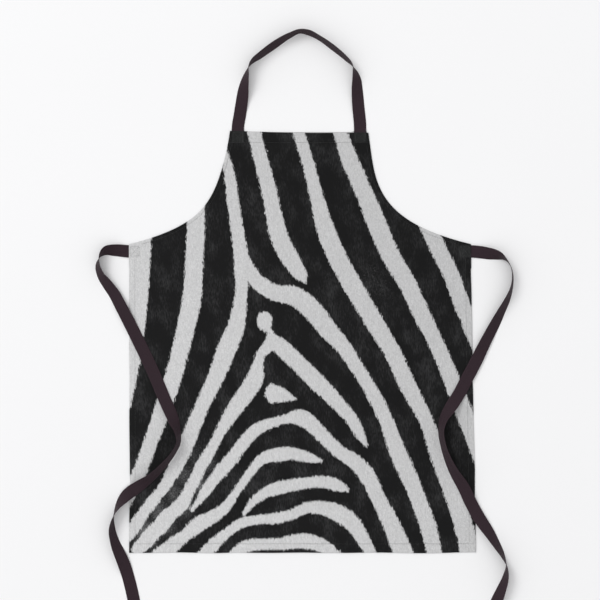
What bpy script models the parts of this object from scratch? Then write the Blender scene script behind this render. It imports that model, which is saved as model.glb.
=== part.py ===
"""Bib apron laid flat with its printed face up.

One cloth panel with turned and stitched hems, a neck strap sewn into the bib hem, and two waist
ties sewn into the side hems, brought round at a fold and laid loosely across the front.
Units are metres, +Z is up, +Y runs from the bottom hem to the neck strap, and Z = 0 is the
surface that the apron lies on.
"""

import math

import bmesh
import bpy
from mathutils import Matrix, Vector

# Panel: the places of its edges and the widths between them.
BIB_TOP_Y = 0.324
BIB_HEIGHT = 0.230
SKIRT_HEIGHT = 0.626
BIB_WIDTH = 0.280
WAIST_WIDTH = 0.694
SKIRT_WIDTH = 0.702
BIB_SWAY = -0.007  # the laid bib's middle lies this far beside the middle of the bottom hem
ARMHOLE_SWAY = -0.004  # how much further over the bib lies halfway up its armholes

# Armhole: a cubic curve from the bib's top corner to the waist corner.
ARMHOLE_FLARE = 0.019  # how far out the first handle is
ARMHOLE_HOLLOW = 0.032  # how far out the second handle is
ARMHOLE_STRAIGHT = 0.55  # the first handle's share of the bib's height
ARMHOLE_TURN = 0.81  # the second handle's share of the bib's height
ARMHOLE_STEPS = 18

# Hems: how far the cloth is turned under.
HEM_PAST_TAB = 0.002  # how much deeper the bib hem is than the tape's sewn ends in it
ARMHOLE_HEM = 0.009
SIDE_HEM = 0.014
BOTTOM_HEM = 0.020

# Layers, from the surface up: turned hem, sewn tape, panel, thread, loose tape.
CLOTH_THICKNESS = 0.0006
TAPE_THICKNESS = 0.0008
THREAD_THICKNESS = 0.0003
LABEL_THICKNESS = 0.0004
GAP = 0.0003
SEWN_Z = CLOTH_THICKNESS + GAP
PANEL_Z = SEWN_Z + TAPE_THICKNESS + GAP
PANEL_TOP = PANEL_Z + CLOTH_THICKNESS
THREAD_Z = PANEL_TOP + GAP
OVER_Z = THREAD_Z + THREAD_THICKNESS + GAP
FLOOR_Z = 0.0

# Tape: one width for the neck strap and the ties.
TAPE_WIDTH = 0.025
TAB_LENGTH = 0.024  # the end that is sewn down
CUT_GAP = 0.0005  # between a sewn length of tape and the length that folds
END_FOLD = 0.010  # the turned end of a tie
TAPE_STEP = 0.006  # between the cross-sections of a tape
ROUTE_CUTS = 8  # cubic pieces are read at this many places
NECK_TAB_INSET = 0.016  # from the bib's side edge to the middle of the neck strap
TIE_DROP = 0.0145  # from the waist corner down to the middle of a tie

# Stitching.
THREAD_WIDTH = 0.0008
SEAM_INSET = 0.002  # from a hem's inner edge to its stitching
SEAM_CLEAR = 0.002  # between the ends of stitching that don't meet
BOX_INSET = 0.003  # from a tape's edge to its box of stitching

# Care label, caught in the left side hem behind the panel.
LABEL_WIDTH = 0.030
LABEL_HEIGHT = 0.040
LABEL_Y = -0.180
LABEL_INSET = 0.002

# Neck strap: (share of the way from the left tab to the right one, rise above the bib,
# lean of the tape about its own length in degrees). It stands on edge at both bends.
NECK_ROUTE = [
    (0.000, 0.000, 0), (0.000, 0.006, 0), (0.016, 0.032, 0), (0.034, 0.061, -10),
    (0.052, 0.093, -40),
    (0.070, 0.113, -63), (0.093, 0.131, -90), (0.126, 0.141, -104), (0.175, 0.150, -113),
    (0.288, 0.1705, -119), (0.428, 0.192, -107), (0.507, 0.200, -101), (0.582, 0.197, -107),
    (0.662, 0.187, -104), (0.772, 0.168, -108), (0.879, 0.146, -103), (0.934, 0.132, -90),
    (0.956, 0.120, -66), (0.971, 0.104, -42), (0.975, 0.085, -25), (0.984, 0.053, -8),
    (1.000, 0.006, 0), (1.000, 0.000, 0),
]

# Ties: (distance along X and Y from the place where the tape leaves the side edge, lean in
# degrees). The fold is the row where the tape heads along -Y.
LEFT_TIE_ROUTE = [
    (0.000, 0.000, 0), (-0.028, 0.002, -20), (-0.044, 0.001, -42), (-0.057, -0.010, -86),
    (-0.062, -0.028, -118), (-0.056, -0.049, -133), (-0.044, -0.066, -150),
    (-0.031, -0.084, -160), (-0.013, -0.117, -170), (0.018, -0.179, -180),
    (0.049, -0.244, -180), (0.074, -0.303, -186), (0.091, -0.341, -212), (0.099, -0.362, -243),
    (0.102, -0.385, -252), (0.090, -0.410, -248), (0.073, -0.431, -240), (0.048, -0.456, -228),
    (0.022, -0.475, -200), (-0.005, -0.495, -158), (-0.023, -0.518, -115),
    (-0.031, -0.539, -90), (-0.033, -0.562, -66), (-0.027, -0.590, -50), (-0.013, -0.624, -22),
    (-0.001, -0.663, 0), (0.010, -0.710, 0), (0.016, -0.749, 0), (0.017, -0.788, 0),
    (0.013, -0.826, 0),
]
LEFT_FOLD_ROW = 4
RIGHT_TIE_ROUTE = [
    (0.000, 0.000, 0), (0.032, -0.004, 17), (0.054, -0.009, 48), (0.070, -0.018, 88),
    (0.079, -0.031, 99), (0.083, -0.051, 104), (0.081, -0.073, 110), (0.073, -0.097, 124),
    (0.061, -0.121, 136), (0.048, -0.147, 150), (0.027, -0.187, 163), (0.009, -0.225, 178),
    (-0.010, -0.261, 180), (-0.027, -0.293, 184), (-0.043, -0.317, 206),
    (-0.057, -0.339, 234), (-0.062, -0.364, 248), (-0.058, -0.391, 247),
    (-0.050, -0.416, 240), (-0.037, -0.444, 226), (-0.016, -0.478, 200), (0.000, -0.511, 183),
    (0.018, -0.543, 172), (0.035, -0.568, 150), (0.050, -0.592, 132), (0.064, -0.617, 112),
    (0.071, -0.637, 92), (0.069, -0.659, 70), (0.060, -0.686, 50), (0.049, -0.716, 26),
    (0.041, -0.750, 8), (0.037, -0.786, 0), (0.038, -0.823, 0),
]
RIGHT_FOLD_ROW = 5
TIE_MARGIN = 0.016  # a tie whose edge comes this near to the panel is carried by it

# Finishes: colour and roughness.
PRINTED_CLOTH = ((0.30, 0.30, 0.30), 0.85)
TURNED_CLOTH = ((0.50, 0.50, 0.50), 0.85)
TWILL_TAPE = ((0.037, 0.025, 0.030), 0.70)
DARK_THREAD = ((0.015, 0.015, 0.015), 0.60)
LABEL_CLOTH = ((0.80, 0.80, 0.78), 0.55)

LEFT = -1
RIGHT = 1
SIDE_NAMES = {LEFT: "left", RIGHT: "right"}
HEM_Y = BIB_TOP_Y - BIB_HEIGHT - SKIRT_HEIGHT
WAIST_Y = BIB_TOP_Y - BIB_HEIGHT
BIB_HEM = TAB_LENGTH + HEM_PAST_TAB


def clear_scene():
    """Remove every object so that the model starts from nothing."""
    for thing in list(bpy.data.objects):
        bpy.data.objects.remove(thing, do_unlink=True)


def add_part(name, mesh, finish, pivot=(0.0, 0.0, 0.0)):
    """Link a finished mesh as one object whose origin is at its pivot."""
    colour, roughness = finish
    material = bpy.data.materials.new(name)
    material.use_nodes = True
    surface = material.node_tree.nodes["Principled BSDF"]
    surface.inputs["Base Color"].default_value = (*colour, 1.0)
    surface.inputs["Roughness"].default_value = roughness
    surface.inputs["Metallic"].default_value = 0.0
    data = bpy.data.meshes.new(name)
    bmesh.ops.recalc_face_normals(mesh, faces=mesh.faces)
    mesh.to_mesh(data)
    mesh.free()
    data.transform(Matrix.Translation(-Vector(pivot)))
    data.materials.append(material)
    part = bpy.data.objects.new(name, data)
    part.location = pivot
    bpy.context.scene.collection.objects.link(part)
    return part


# Flat pieces


def add_plate(name, outline, bottom, thickness, finish):
    """A flat piece: an outline of (x, y) points, extruded upwards from its bottom."""
    mesh = bmesh.new()
    floor = [mesh.verts.new((x, y, bottom)) for x, y in outline]
    base = mesh.faces.new(floor)
    lifted = bmesh.ops.extrude_face_region(mesh, geom=[base])["geom"]
    corners = [item for item in lifted if isinstance(item, bmesh.types.BMVert)]
    bmesh.ops.translate(mesh, verts=corners, vec=(0.0, 0.0, thickness))
    return add_part(name, mesh, finish)


def set_in(line, distance):
    """Move a line of (x, y) points to its left by a distance, square to its own direction."""
    moved = []
    for index, (x, y) in enumerate(line):
        before = line[max(index - 1, 0)]
        after = line[min(index + 1, len(line) - 1)]
        heading = Vector((after[0] - before[0], after[1] - before[1])).normalized()
        moved.append((x - heading.y * distance, y + heading.x * distance))
    return moved


def shift_level(line, distance):
    """Move a line of (x, y) points along X, which keeps its ends at their heights."""
    return [(x + distance, y) for x, y in line]


def add_seam(name, line):
    """A row of stitching: a narrow strip of thread along a line, on top of the panel."""
    outline = set_in(line, -THREAD_WIDTH / 2) + set_in(line, THREAD_WIDTH / 2)[::-1]
    return add_plate(name, outline, THREAD_Z, THREAD_THICKNESS, DARK_THREAD)


def add_box_stitch(name, centre, width, height):
    """A box of stitching: a square ring of thread that holds a tape's sewn end."""
    mesh = bmesh.new()
    rings = []
    for z in (THREAD_Z, THREAD_Z + THREAD_THICKNESS):
        for trim in (0.0, THREAD_WIDTH):
            half_x = width / 2 - trim
            half_y = height / 2 - trim
            signs = ((-1, -1), (1, -1), (1, 1), (-1, 1))
            ring = [mesh.verts.new((centre[0] + a * half_x, centre[1] + b * half_y, z))
                    for a, b in signs]
            rings.append(ring)
    lower_outer, lower_inner, upper_outer, upper_inner = rings
    walls = ((lower_outer, lower_inner), (lower_inner, upper_inner),
             (upper_inner, upper_outer), (upper_outer, lower_outer))
    for first, second in walls:
        for index in range(4):
            after = (index + 1) % 4
            mesh.faces.new((first[index], first[after], second[after], second[index]))
    return add_part(name, mesh, DARK_THREAD)


# The panel's edges


def sway(y):
    """How far the laid cloth has shifted sideways at a height y."""
    along_bib = max(0.0, (y - WAIST_Y) / BIB_HEIGHT)
    bulge = ARMHOLE_SWAY * math.sin(math.pi * along_bib) ** 2
    return BIB_SWAY * (y - HEM_Y) / (BIB_TOP_Y - HEM_Y) + bulge


def side_edge(side, y):
    """The point of the skirt's side edge at a height y."""
    share = (y - HEM_Y) / SKIRT_HEIGHT
    half = (SKIRT_WIDTH + (WAIST_WIDTH - SKIRT_WIDTH) * share) / 2
    return (side * half + sway(y), y)


def armhole_point(side, t):
    """The point of an armhole's curve at t, from 0 at the bib's top to 1 at the waist."""
    half = BIB_WIDTH / 2
    handles = ((half, 0.0), (half + ARMHOLE_FLARE, ARMHOLE_STRAIGHT * BIB_HEIGHT),
               (half + ARMHOLE_HOLLOW, ARMHOLE_TURN * BIB_HEIGHT), (WAIST_WIDTH / 2, BIB_HEIGHT))
    weights = ((1 - t) ** 3, 3 * t * (1 - t) ** 2, 3 * t ** 2 * (1 - t), t ** 3)
    out = sum(weight * handle[0] for weight, handle in zip(weights, handles))
    fall = sum(weight * handle[1] for weight, handle in zip(weights, handles))
    y = BIB_TOP_Y - fall
    return (side * out + sway(y), y)


def armhole_share(is_past):
    """The smallest t at which the right armhole's point passes a test, by halving."""
    low, high = 0.0, 1.0
    for _ in range(40):
        middle = (low + high) / 2
        if is_past(armhole_point(RIGHT, middle)):
            high = middle
        else:
            low = middle
    return high


def armhole_line(side, first, last):
    """Points along an armhole between two values of t, with the panel on their left."""
    shares = [first + (last - first) * step / ARMHOLE_STEPS for step in range(ARMHOLE_STEPS + 1)]
    if side == RIGHT:
        shares.reverse()
    return [armhole_point(side, t) for t in shares]


def side_line(side, bottom, top):
    """The two ends of a stretch of side edge, with the panel on their left."""
    ends = [side_edge(side, bottom), side_edge(side, top)]
    if side == LEFT:
        ends.reverse()
    return ends


# The cloth


def build_panel():
    """The printed panel in one piece, from the bib's top to the bottom hem."""
    outline = side_line(RIGHT, HEM_Y, WAIST_Y)
    outline += armhole_line(RIGHT, 0.0, 1.0)[1:]
    outline += armhole_line(LEFT, 0.0, 1.0)
    outline += side_line(LEFT, HEM_Y, WAIST_Y)[1:]
    add_plate("front_panel", outline, PANEL_Z, CLOTH_THICKNESS, PRINTED_CLOTH)


def build_bib_hem():
    """The wide hem along the bib's top, and its row of stitching."""
    inner = armhole_share(lambda point: point[1] < BIB_TOP_Y - BIB_HEM)
    outline = [armhole_point(RIGHT, inner), armhole_point(RIGHT, 0.0),
               armhole_point(LEFT, 0.0), armhole_point(LEFT, inner)]
    add_plate("bib_hem", outline, FLOOR_Z, CLOTH_THICKNESS, TURNED_CLOTH)
    seam_y = BIB_TOP_Y - BIB_HEM + SEAM_INSET
    left_x = armhole_point(LEFT, inner)[0] + SEAM_CLEAR
    right_x = armhole_point(RIGHT, inner)[0] - SEAM_CLEAR
    add_seam("bib_hem_stitching", [(left_x, seam_y), (right_x, seam_y)])


def build_side(side):
    """One side's armhole hem and side hem, and their stitching."""
    name = SIDE_NAMES[side]
    hem_start = armhole_share(lambda point: point[1] < BIB_TOP_Y - BIB_HEM - GAP)
    seam_start = armhole_share(lambda point: point[1] < BIB_TOP_Y - BIB_HEM - SEAM_CLEAR)
    tab_x = side_edge(RIGHT, WAIST_Y)[0] - TAB_LENGTH - SEAM_CLEAR
    seam_end = armhole_share(lambda point: point[0] > tab_x)
    armhole_edge = armhole_line(side, hem_start, 1.0)
    armhole_outline = armhole_edge + set_in(armhole_edge, ARMHOLE_HEM)[::-1]
    add_plate(f"armhole_hem_{name}", armhole_outline, FLOOR_Z, CLOTH_THICKNESS, TURNED_CLOTH)
    armhole_seam = set_in(armhole_line(side, seam_start, seam_end), ARMHOLE_HEM - SEAM_INSET)
    add_seam(f"armhole_hem_stitching_{name}", armhole_seam)
    bottom = HEM_Y + BOTTOM_HEM
    hem_edge = side_line(side, bottom + GAP, WAIST_Y - ARMHOLE_HEM - GAP)
    hem_outline = hem_edge + shift_level(hem_edge, -side * SIDE_HEM)[::-1]
    add_plate(f"side_hem_{name}", hem_outline, FLOOR_Z, CLOTH_THICKNESS, TURNED_CLOTH)
    seam_top = tie_y() - TAPE_WIDTH / 2 - SEAM_CLEAR
    seam_edge = side_line(side, bottom + SEAM_CLEAR, seam_top)
    side_seam = shift_level(seam_edge, side * (SEAM_INSET - SIDE_HEM))
    add_seam(f"side_hem_stitching_{name}", side_seam)


def build_bottom_hem():
    """The hem along the skirt's bottom, and its row of stitching."""
    outline = side_line(RIGHT, HEM_Y, HEM_Y + BOTTOM_HEM) + side_line(LEFT, HEM_Y, HEM_Y + BOTTOM_HEM)
    add_plate("bottom_hem", outline, FLOOR_Z, CLOTH_THICKNESS, TURNED_CLOTH)
    seam_y = HEM_Y + BOTTOM_HEM - SEAM_INSET
    left_x = side_edge(LEFT, seam_y)[0] + SEAM_CLEAR
    right_x = side_edge(RIGHT, seam_y)[0] - SEAM_CLEAR
    add_seam("bottom_hem_stitching", [(left_x, seam_y), (right_x, seam_y)])


def build_care_label():
    """The blank label behind the panel, with its outer edge caught in the left side hem."""
    outer = side_edge(LEFT, LABEL_Y)[0] + LABEL_INSET
    low = LABEL_Y - LABEL_HEIGHT / 2
    high = LABEL_Y + LABEL_HEIGHT / 2
    outline = [(outer, low), (outer + LABEL_WIDTH, low),
               (outer + LABEL_WIDTH, high), (outer, high)]
    add_plate("care_label", outline, SEWN_Z, LABEL_THICKNESS, LABEL_CLOTH)


# The tapes


def blend_slopes(back, ahead, back_span, ahead_span):
    """The slopes of one row of a route: smooth in plan, and with no overshoot in lean or height."""
    weight = back_span / (back_span + ahead_span)
    slopes = [b * (1 - weight) + a * weight for b, a in zip(back[:2], ahead[:2])]
    for b, a in zip(back[2:], ahead[2:]):
        slopes.append(2 * b * a / (b + a) if b * a > 0 else 0.0)
    return slopes


def smooth_route(rows):
    """A smooth curve through a route's rows, as (length so far, x, y, lean, surface) stations.

    Each span is a cubic whose end slopes are taken from the rows on both sides of it. The
    second value returned is the length at which each row lies.
    """
    spans = [math.dist(a[:2], b[:2]) for a, b in zip(rows, rows[1:])]
    rates = [[(b - a) / span for a, b in zip(first, second)]
             for first, second, span in zip(rows, rows[1:], spans)]
    slopes = [rates[0]]
    for index in range(1, len(spans)):
        slopes.append(blend_slopes(rates[index - 1], rates[index], spans[index - 1], spans[index]))
    slopes.append(rates[-1])
    stations = [(0.0, *rows[0])]
    row_lengths = [0.0]
    for index, span in enumerate(spans):
        for cut in range(1, ROUTE_CUTS + 1):
            t = cut / ROUTE_CUTS
            start_weight = 2 * t ** 3 - 3 * t ** 2 + 1
            start_slope = (t ** 3 - 2 * t ** 2 + t) * span
            end_slope = (t ** 3 - t ** 2) * span
            values = [start_weight * a + (1 - start_weight) * b + start_slope * c + end_slope * d
                      for a, b, c, d in zip(rows[index], rows[index + 1],
                                            slopes[index], slopes[index + 1])]
            length = stations[-1][0] + math.dist(stations[-1][1:3], values[:2])
            stations.append((length, *values))
        row_lengths.append(stations[-1][0])
    return stations, row_lengths


def station_at(stations, length):
    """The (x, y, lean, surface) of a smooth route at a length along it."""
    for before, after in zip(stations, stations[1:]):
        if length <= after[0]:
            break
    share = (length - before[0]) / (after[0] - before[0])
    return [a + (b - a) * share for a, b in zip(before[1:], after[1:])]


def tape_frames(stations, start, end, raised=0.0):
    """Frames along a tape from one length to another: middle, width and thickness vectors.

    The lower edge of the tape stays on the surface under it, however far the tape leans.
    """
    count = max(2, math.ceil((end - start) / TAPE_STEP))
    probe = TAPE_STEP / 10
    frames = []
    for step in range(count + 1):
        length = start + (end - start) * step / count
        x, y, lean, surface = station_at(stations, length)
        back = station_at(stations, max(length - probe, 0.0))
        ahead = station_at(stations, min(length + probe, stations[-1][0]))
        heading = Vector((ahead[0] - back[0], ahead[1] - back[1], 0.0)).normalized()
        left_hand = Vector((-heading.y, heading.x, 0.0))
        angle = math.radians(lean)
        across = left_hand * math.cos(angle) + Vector((0.0, 0.0, math.sin(angle)))
        through = heading.cross(across)
        rise = abs(math.sin(angle)) * TAPE_WIDTH / 2 + abs(math.cos(angle)) * TAPE_THICKNESS / 2
        middle = Vector((x, y, surface + rise + raised))
        frames.append((middle, across * TAPE_WIDTH / 2, through * TAPE_THICKNESS / 2))
    return frames


def add_tape(name, frames, pivot=(0.0, 0.0, 0.0)):
    """A length of tape: a flat rectangle carried along its frames, closed at both ends.

    Its two wide faces are cut into the same triangles, so they stay a tape's thickness apart
    where the tape twists.
    """
    mesh = bmesh.new()
    loops = []
    for middle, across, through in frames:
        top = [mesh.verts.new(middle + across * share + through) for share in (1, 0, -1)]
        under = [mesh.verts.new(middle + across * share - through) for share in (1, 0, -1)]
        loops.append((top, under))
    for (top, under), (next_top, next_under) in zip(loops, loops[1:]):
        for row, next_row in ((top, next_top), (under, next_under)):
            for index in (0, 1):
                mesh.faces.new((row[index], row[index + 1], next_row[index + 1]))
                mesh.faces.new((row[index], next_row[index + 1], next_row[index]))
        for index in (0, -1):
            mesh.faces.new((top[index], under[index], next_under[index], next_top[index]))
    for top, under in (loops[0], loops[-1]):
        mesh.faces.new(top + under[::-1])
    return add_part(name, mesh, TWILL_TAPE, pivot)


def tie_y():
    """The height along the panel at which the ties leave its side edges."""
    return WAIST_Y - TIE_DROP


def tie_surface(side, x, y, lean):
    """The height of the surface under a tie past its fold: the panel if it's near, or the floor."""
    beside = max(0.0, side * (x - side_edge(side, y)[0]))
    below = max(0.0, HEM_Y - y)
    reach = abs(math.cos(math.radians(lean))) * TAPE_WIDTH / 2 + TIE_MARGIN
    return OVER_Z if math.hypot(beside, below) < reach else FLOOR_Z


def tab_x(side):
    """The middle of a neck strap's end on the bib."""
    return armhole_point(side, 0.0)[0] - side * NECK_TAB_INSET


def build_neck_strap():
    """The neck strap: two ends sewn into the bib hem and the loop that folds between them."""
    box = TAPE_WIDTH - 2 * BOX_INSET
    box_height = TAB_LENGTH - 2 * BOX_INSET
    for side in (LEFT, RIGHT):
        name = SIDE_NAMES[side]
        x = tab_x(side)
        rows = [(x, BIB_TOP_Y - TAB_LENGTH, 0.0, SEWN_Z), (x, BIB_TOP_Y, 0.0, SEWN_Z)]
        stations, _ = smooth_route(rows)
        add_tape(f"neck_strap_end_{name}", tape_frames(stations, 0.0, TAB_LENGTH))
        add_box_stitch(f"neck_strap_stitching_{name}", (x, BIB_TOP_Y - TAB_LENGTH / 2), box, box_height)
    left_x, right_x = tab_x(LEFT), tab_x(RIGHT)
    rows = [(left_x + (right_x - left_x) * share, BIB_TOP_Y + rise, lean,
             SEWN_Z if rise == 0 else FLOOR_Z) for share, rise, lean in NECK_ROUTE]
    stations, _ = smooth_route(rows)
    frames = tape_frames(stations, CUT_GAP, stations[-1][0] - CUT_GAP)
    add_tape("neck_strap", frames, pivot=(0.0, BIB_TOP_Y, PANEL_TOP))


def build_tie(side, route, fold_row):
    """One waist tie: its sewn length as far as the fold, its free length and its turned end."""
    name = SIDE_NAMES[side]
    edge_x, y = side_edge(side, tie_y())
    rows = [(edge_x - side * TAB_LENGTH, y, 0.0, SEWN_Z), (edge_x, y, 0.0, SEWN_Z)]
    for index, (out, rise, lean) in enumerate(route[1:], start=1):
        place = (edge_x + out, y + rise, lean)
        surface = tie_surface(side, *place) if index > fold_row else FLOOR_Z
        rows.append((*place, surface))
    stations, row_lengths = smooth_route(rows)
    fold = row_lengths[fold_row + 1]
    end = stations[-1][0]
    add_tape(f"waist_tie_root_{name}", tape_frames(stations, 0.0, fold - CUT_GAP / 2))
    fold_x, fold_y = rows[fold_row + 1][:2]
    pivot = (fold_x, fold_y, TAPE_WIDTH / 2)
    add_tape(f"waist_tie_{name}", tape_frames(stations, fold + CUT_GAP / 2, end), pivot)
    turned = tape_frames(stations, end - END_FOLD, end, raised=TAPE_THICKNESS + GAP)
    add_tape(f"waist_tie_end_{name}", turned, pivot)
    add_end_stitching(f"waist_tie_end_stitching_{name}", turned[0], pivot)
    box_x = edge_x - side * TAB_LENGTH / 2
    box = TAPE_WIDTH - 2 * BOX_INSET
    add_box_stitch(f"waist_tie_stitching_{name}", (box_x, y), TAB_LENGTH - 2 * BOX_INSET, box)


def add_end_stitching(name, frame, pivot):
    """The row of stitching across a tie's turned end, on top of it."""
    middle, across, through = frame
    forward = across.cross(through).normalized() * THREAD_WIDTH
    side_reach = across * (1 - 2 * SEAM_INSET / TAPE_WIDTH)
    low = middle + abs(through.z) * Vector((0.0, 0.0, 1.0)) + Vector((0.0, 0.0, GAP))
    low += forward * (SEAM_INSET / THREAD_WIDTH)
    mesh = bmesh.new()
    corners = (low + side_reach, low - side_reach,
               low - side_reach + forward, low + side_reach + forward)
    base = mesh.faces.new([mesh.verts.new(corner) for corner in corners])
    lifted = bmesh.ops.extrude_face_region(mesh, geom=[base])["geom"]
    verts = [item for item in lifted if isinstance(item, bmesh.types.BMVert)]
    bmesh.ops.translate(mesh, verts=verts, vec=(0.0, 0.0, THREAD_THICKNESS))
    return add_part(name, mesh, DARK_THREAD, pivot)


def main():
    """Build the whole apron."""
    clear_scene()
    build_panel()
    build_bib_hem()
    for side in (LEFT, RIGHT):
        build_side(side)
    build_bottom_hem()
    build_care_label()
    build_neck_strap()
    build_tie(LEFT, LEFT_TIE_ROUTE, LEFT_FOLD_ROW)
    build_tie(RIGHT, RIGHT_TIE_ROUTE, RIGHT_FOLD_ROW)


main()
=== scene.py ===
"""Bib apron laid flat with its zebra-striped face up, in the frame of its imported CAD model.

Units are metres, +Z is up and +Y runs from the bottom hem to the neck strap. The apron lies on a
pale table top at Z = 0. Each sub-assembly is a class that reads its place from the CAD nodes,
builds its pieces and dresses them.
"""

from __future__ import annotations

import logging
import math
from collections.abc import Iterable, Sequence
from dataclasses import dataclass, field
from enum import Enum

import bmesh
import bpy
import numpy as np
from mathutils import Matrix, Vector, noise

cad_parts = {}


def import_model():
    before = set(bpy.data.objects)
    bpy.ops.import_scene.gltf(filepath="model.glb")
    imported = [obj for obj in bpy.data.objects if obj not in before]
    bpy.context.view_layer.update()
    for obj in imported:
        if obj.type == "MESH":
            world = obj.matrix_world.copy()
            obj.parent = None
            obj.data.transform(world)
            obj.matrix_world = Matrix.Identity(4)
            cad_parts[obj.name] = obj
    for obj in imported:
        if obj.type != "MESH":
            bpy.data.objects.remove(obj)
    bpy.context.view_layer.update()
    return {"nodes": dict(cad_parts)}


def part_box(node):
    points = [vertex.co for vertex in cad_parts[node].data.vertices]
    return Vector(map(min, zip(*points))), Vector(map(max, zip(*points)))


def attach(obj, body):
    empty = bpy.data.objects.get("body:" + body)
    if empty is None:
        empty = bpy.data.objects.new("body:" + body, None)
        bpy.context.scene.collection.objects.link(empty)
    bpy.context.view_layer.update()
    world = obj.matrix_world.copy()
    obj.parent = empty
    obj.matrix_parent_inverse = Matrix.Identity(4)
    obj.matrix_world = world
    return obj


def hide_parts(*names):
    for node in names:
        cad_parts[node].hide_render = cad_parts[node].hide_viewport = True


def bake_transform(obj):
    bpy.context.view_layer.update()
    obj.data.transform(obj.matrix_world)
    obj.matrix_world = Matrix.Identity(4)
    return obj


LOG = logging.getLogger("apron")
MILLIMETRE = 0.001
TAPE_WIDTH = 0.025
EDGE_STEP = 0.003
HEM_STEP = 0.004
TINY = 1e-12

Row = tuple[float, ...]
Colour = tuple[float, float, float]
Points = np.ndarray
Faces = list[tuple[int, ...]]
Piece = bpy.types.Object
Material = bpy.types.Material
Socket = bpy.types.NodeSocket


class Side(Enum):
    """One side of the apron as it lies, seen from above."""

    LEFT = -1
    RIGHT = 1

    @property
    def label(self) -> str:
        """The side's name inside node and piece names."""
        return self.name.lower()


class Body(Enum):
    """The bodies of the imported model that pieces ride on."""

    PANEL = "panel"
    NECK_LOOP = "neck_loop"
    LEFT_TIE = "left_tie"
    RIGHT_TIE = "right_tie"


class Slot(Enum):
    """The record's material slots."""

    PRINTED_CLOTH = "printed_cloth"
    TURNED_CLOTH = "turned_cloth"
    TWILL_TAPE = "twill_tape"
    THREAD = "thread"
    LABEL = "label"


@dataclass(frozen=True)
class Layers:
    """The heights at which cloth, tape and thread lie, as they are in the CAD model.

    Attributes:
        cloth: Thickness of the printed cloth, in metres.
        tape: Thickness of the tape, in metres.
        thread: Thickness of the thread, in metres.
        gap: Room between neighbours, in metres.
    """

    cloth: float = 0.0006
    tape: float = 0.0008
    thread: float = 0.0003
    gap: float = 0.0003

    @property
    def sewn(self) -> float:
        """Where a tape's sewn end lies, on top of the turned hem."""
        return self.cloth + self.gap

    @property
    def panel(self) -> float:
        """Where the panel's underside lies."""
        return self.sewn + self.tape + self.gap

    @property
    def panel_top(self) -> float:
        """The top of the panel's cloth."""
        return self.panel + self.cloth

    @property
    def over(self) -> float:
        """Where a loose tape lies on top of the panel and its stitching."""
        return self.panel_top + self.gap + self.thread + self.gap


LAYERS = Layers()


# Small helpers for meshes


def link_mesh(name: str, verts: Iterable[Sequence[float]], faces: Faces) -> Piece:
    """Make a smooth-shaded mesh object and link it to the scene.

    Args:
        name: The piece's name.
        verts: Its points.
        faces: Its faces as rows of point numbers.

    Returns:
        The new object.
    """
    mesh = bpy.data.meshes.new(name)
    mesh.from_pydata([tuple(point) for point in verts], [], [tuple(face) for face in faces])
    mesh.validate()
    mesh.update()
    mesh.shade_smooth()
    piece = bpy.data.objects.new(name, mesh)
    bpy.context.scene.collection.objects.link(piece)
    return piece


def face_outwards(piece: Piece) -> None:
    """Turn a closed mesh's faces so that they all look outwards.

    Args:
        piece: The mesh object.
    """
    work = bmesh.new()
    work.from_mesh(piece.data)
    bmesh.ops.recalc_face_normals(work, faces=work.faces)
    work.to_mesh(piece.data)
    work.free()


def tube_faces(sections: int, ring: int, first: int = 0) -> Faces:
    """The faces of a closed tube whose cross-sections are rings of points.

    Args:
        sections: How many cross-sections it has.
        ring: How many points each of them has.
        first: The number of its first point.

    Returns:
        The faces of its wall and of both its ends.
    """
    last = first + (sections - 1) * ring
    faces = []
    for base in range(first, last, ring):
        for corner in range(ring):
            after = (corner + 1) % ring
            faces.append((base + corner, base + after, base + ring + after, base + ring + corner))
    faces.append(tuple(reversed(range(first, first + ring))))
    faces.append(tuple(range(last, last + ring)))
    return faces


def store_values(piece: Piece, name: str, values: Points) -> None:
    """Keep one number for each point of a mesh, under a name that its material reads."""
    attribute = piece.data.attributes.new(name, "FLOAT", "POINT")
    attribute.data.foreach_set("value", np.asarray(values, np.float32))


def dress(piece: Piece, material: Material) -> None:
    """Give a piece its material.

    Args:
        piece: The piece to dress.
        material: Its material.
    """
    piece.data.materials.clear()
    piece.data.materials.append(material)


# Small helpers for lines


def marks_along(line: Points) -> Points:
    """The length along a line from its start to each of its points, by their x and y."""
    return np.concatenate(([0.0], np.cumsum(np.hypot(*np.diff(line[:, :2], axis=0).T))))


def cubic_points(rows: Points, slopes: Points, index: Points, share: Points) -> Points:
    """Read the cubics that join rows with given slopes.

    Args:
        rows: The rows, with x and y first and any other numbers after them.
        slopes: How fast each number changes at each row.
        index: The row that starts the span of each wanted point.
        share: How far along its span each wanted point lies, from 0 to 1.

    Returns:
        One row for each wanted point.
    """
    span = np.diff(marks_along(rows))[index][:, None]
    t = share[:, None]
    start = 2 * t ** 3 - 3 * t ** 2 + 1
    return (start * rows[index] + (1 - start) * rows[index + 1]
            + (t ** 3 - 2 * t ** 2 + t) * span * slopes[index]
            + (t ** 3 - t ** 2) * span * slopes[index + 1])


def smooth_line(points: Sequence[Row] | Points, step: float) -> Points:
    """Lay a smooth curve through points and read it at even steps.

    Args:
        points: The points, with x and y first and any other numbers after them.
        step: Distance between the points that are returned.

    Returns:
        Rows of the same numbers, evenly spaced along the curve.
    """
    rows = np.array(points, float)
    marks = marks_along(rows)
    count = max(2, math.ceil(marks[-1] / step))
    places = np.linspace(0.0, marks[-1], count + 1)
    index = np.clip(np.searchsorted(marks, places, side="right") - 1, 0, len(marks) - 2)
    share = (places - marks[index]) / np.diff(marks)[index]
    return cubic_points(rows, np.gradient(rows, marks, axis=0), index, share)


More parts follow.
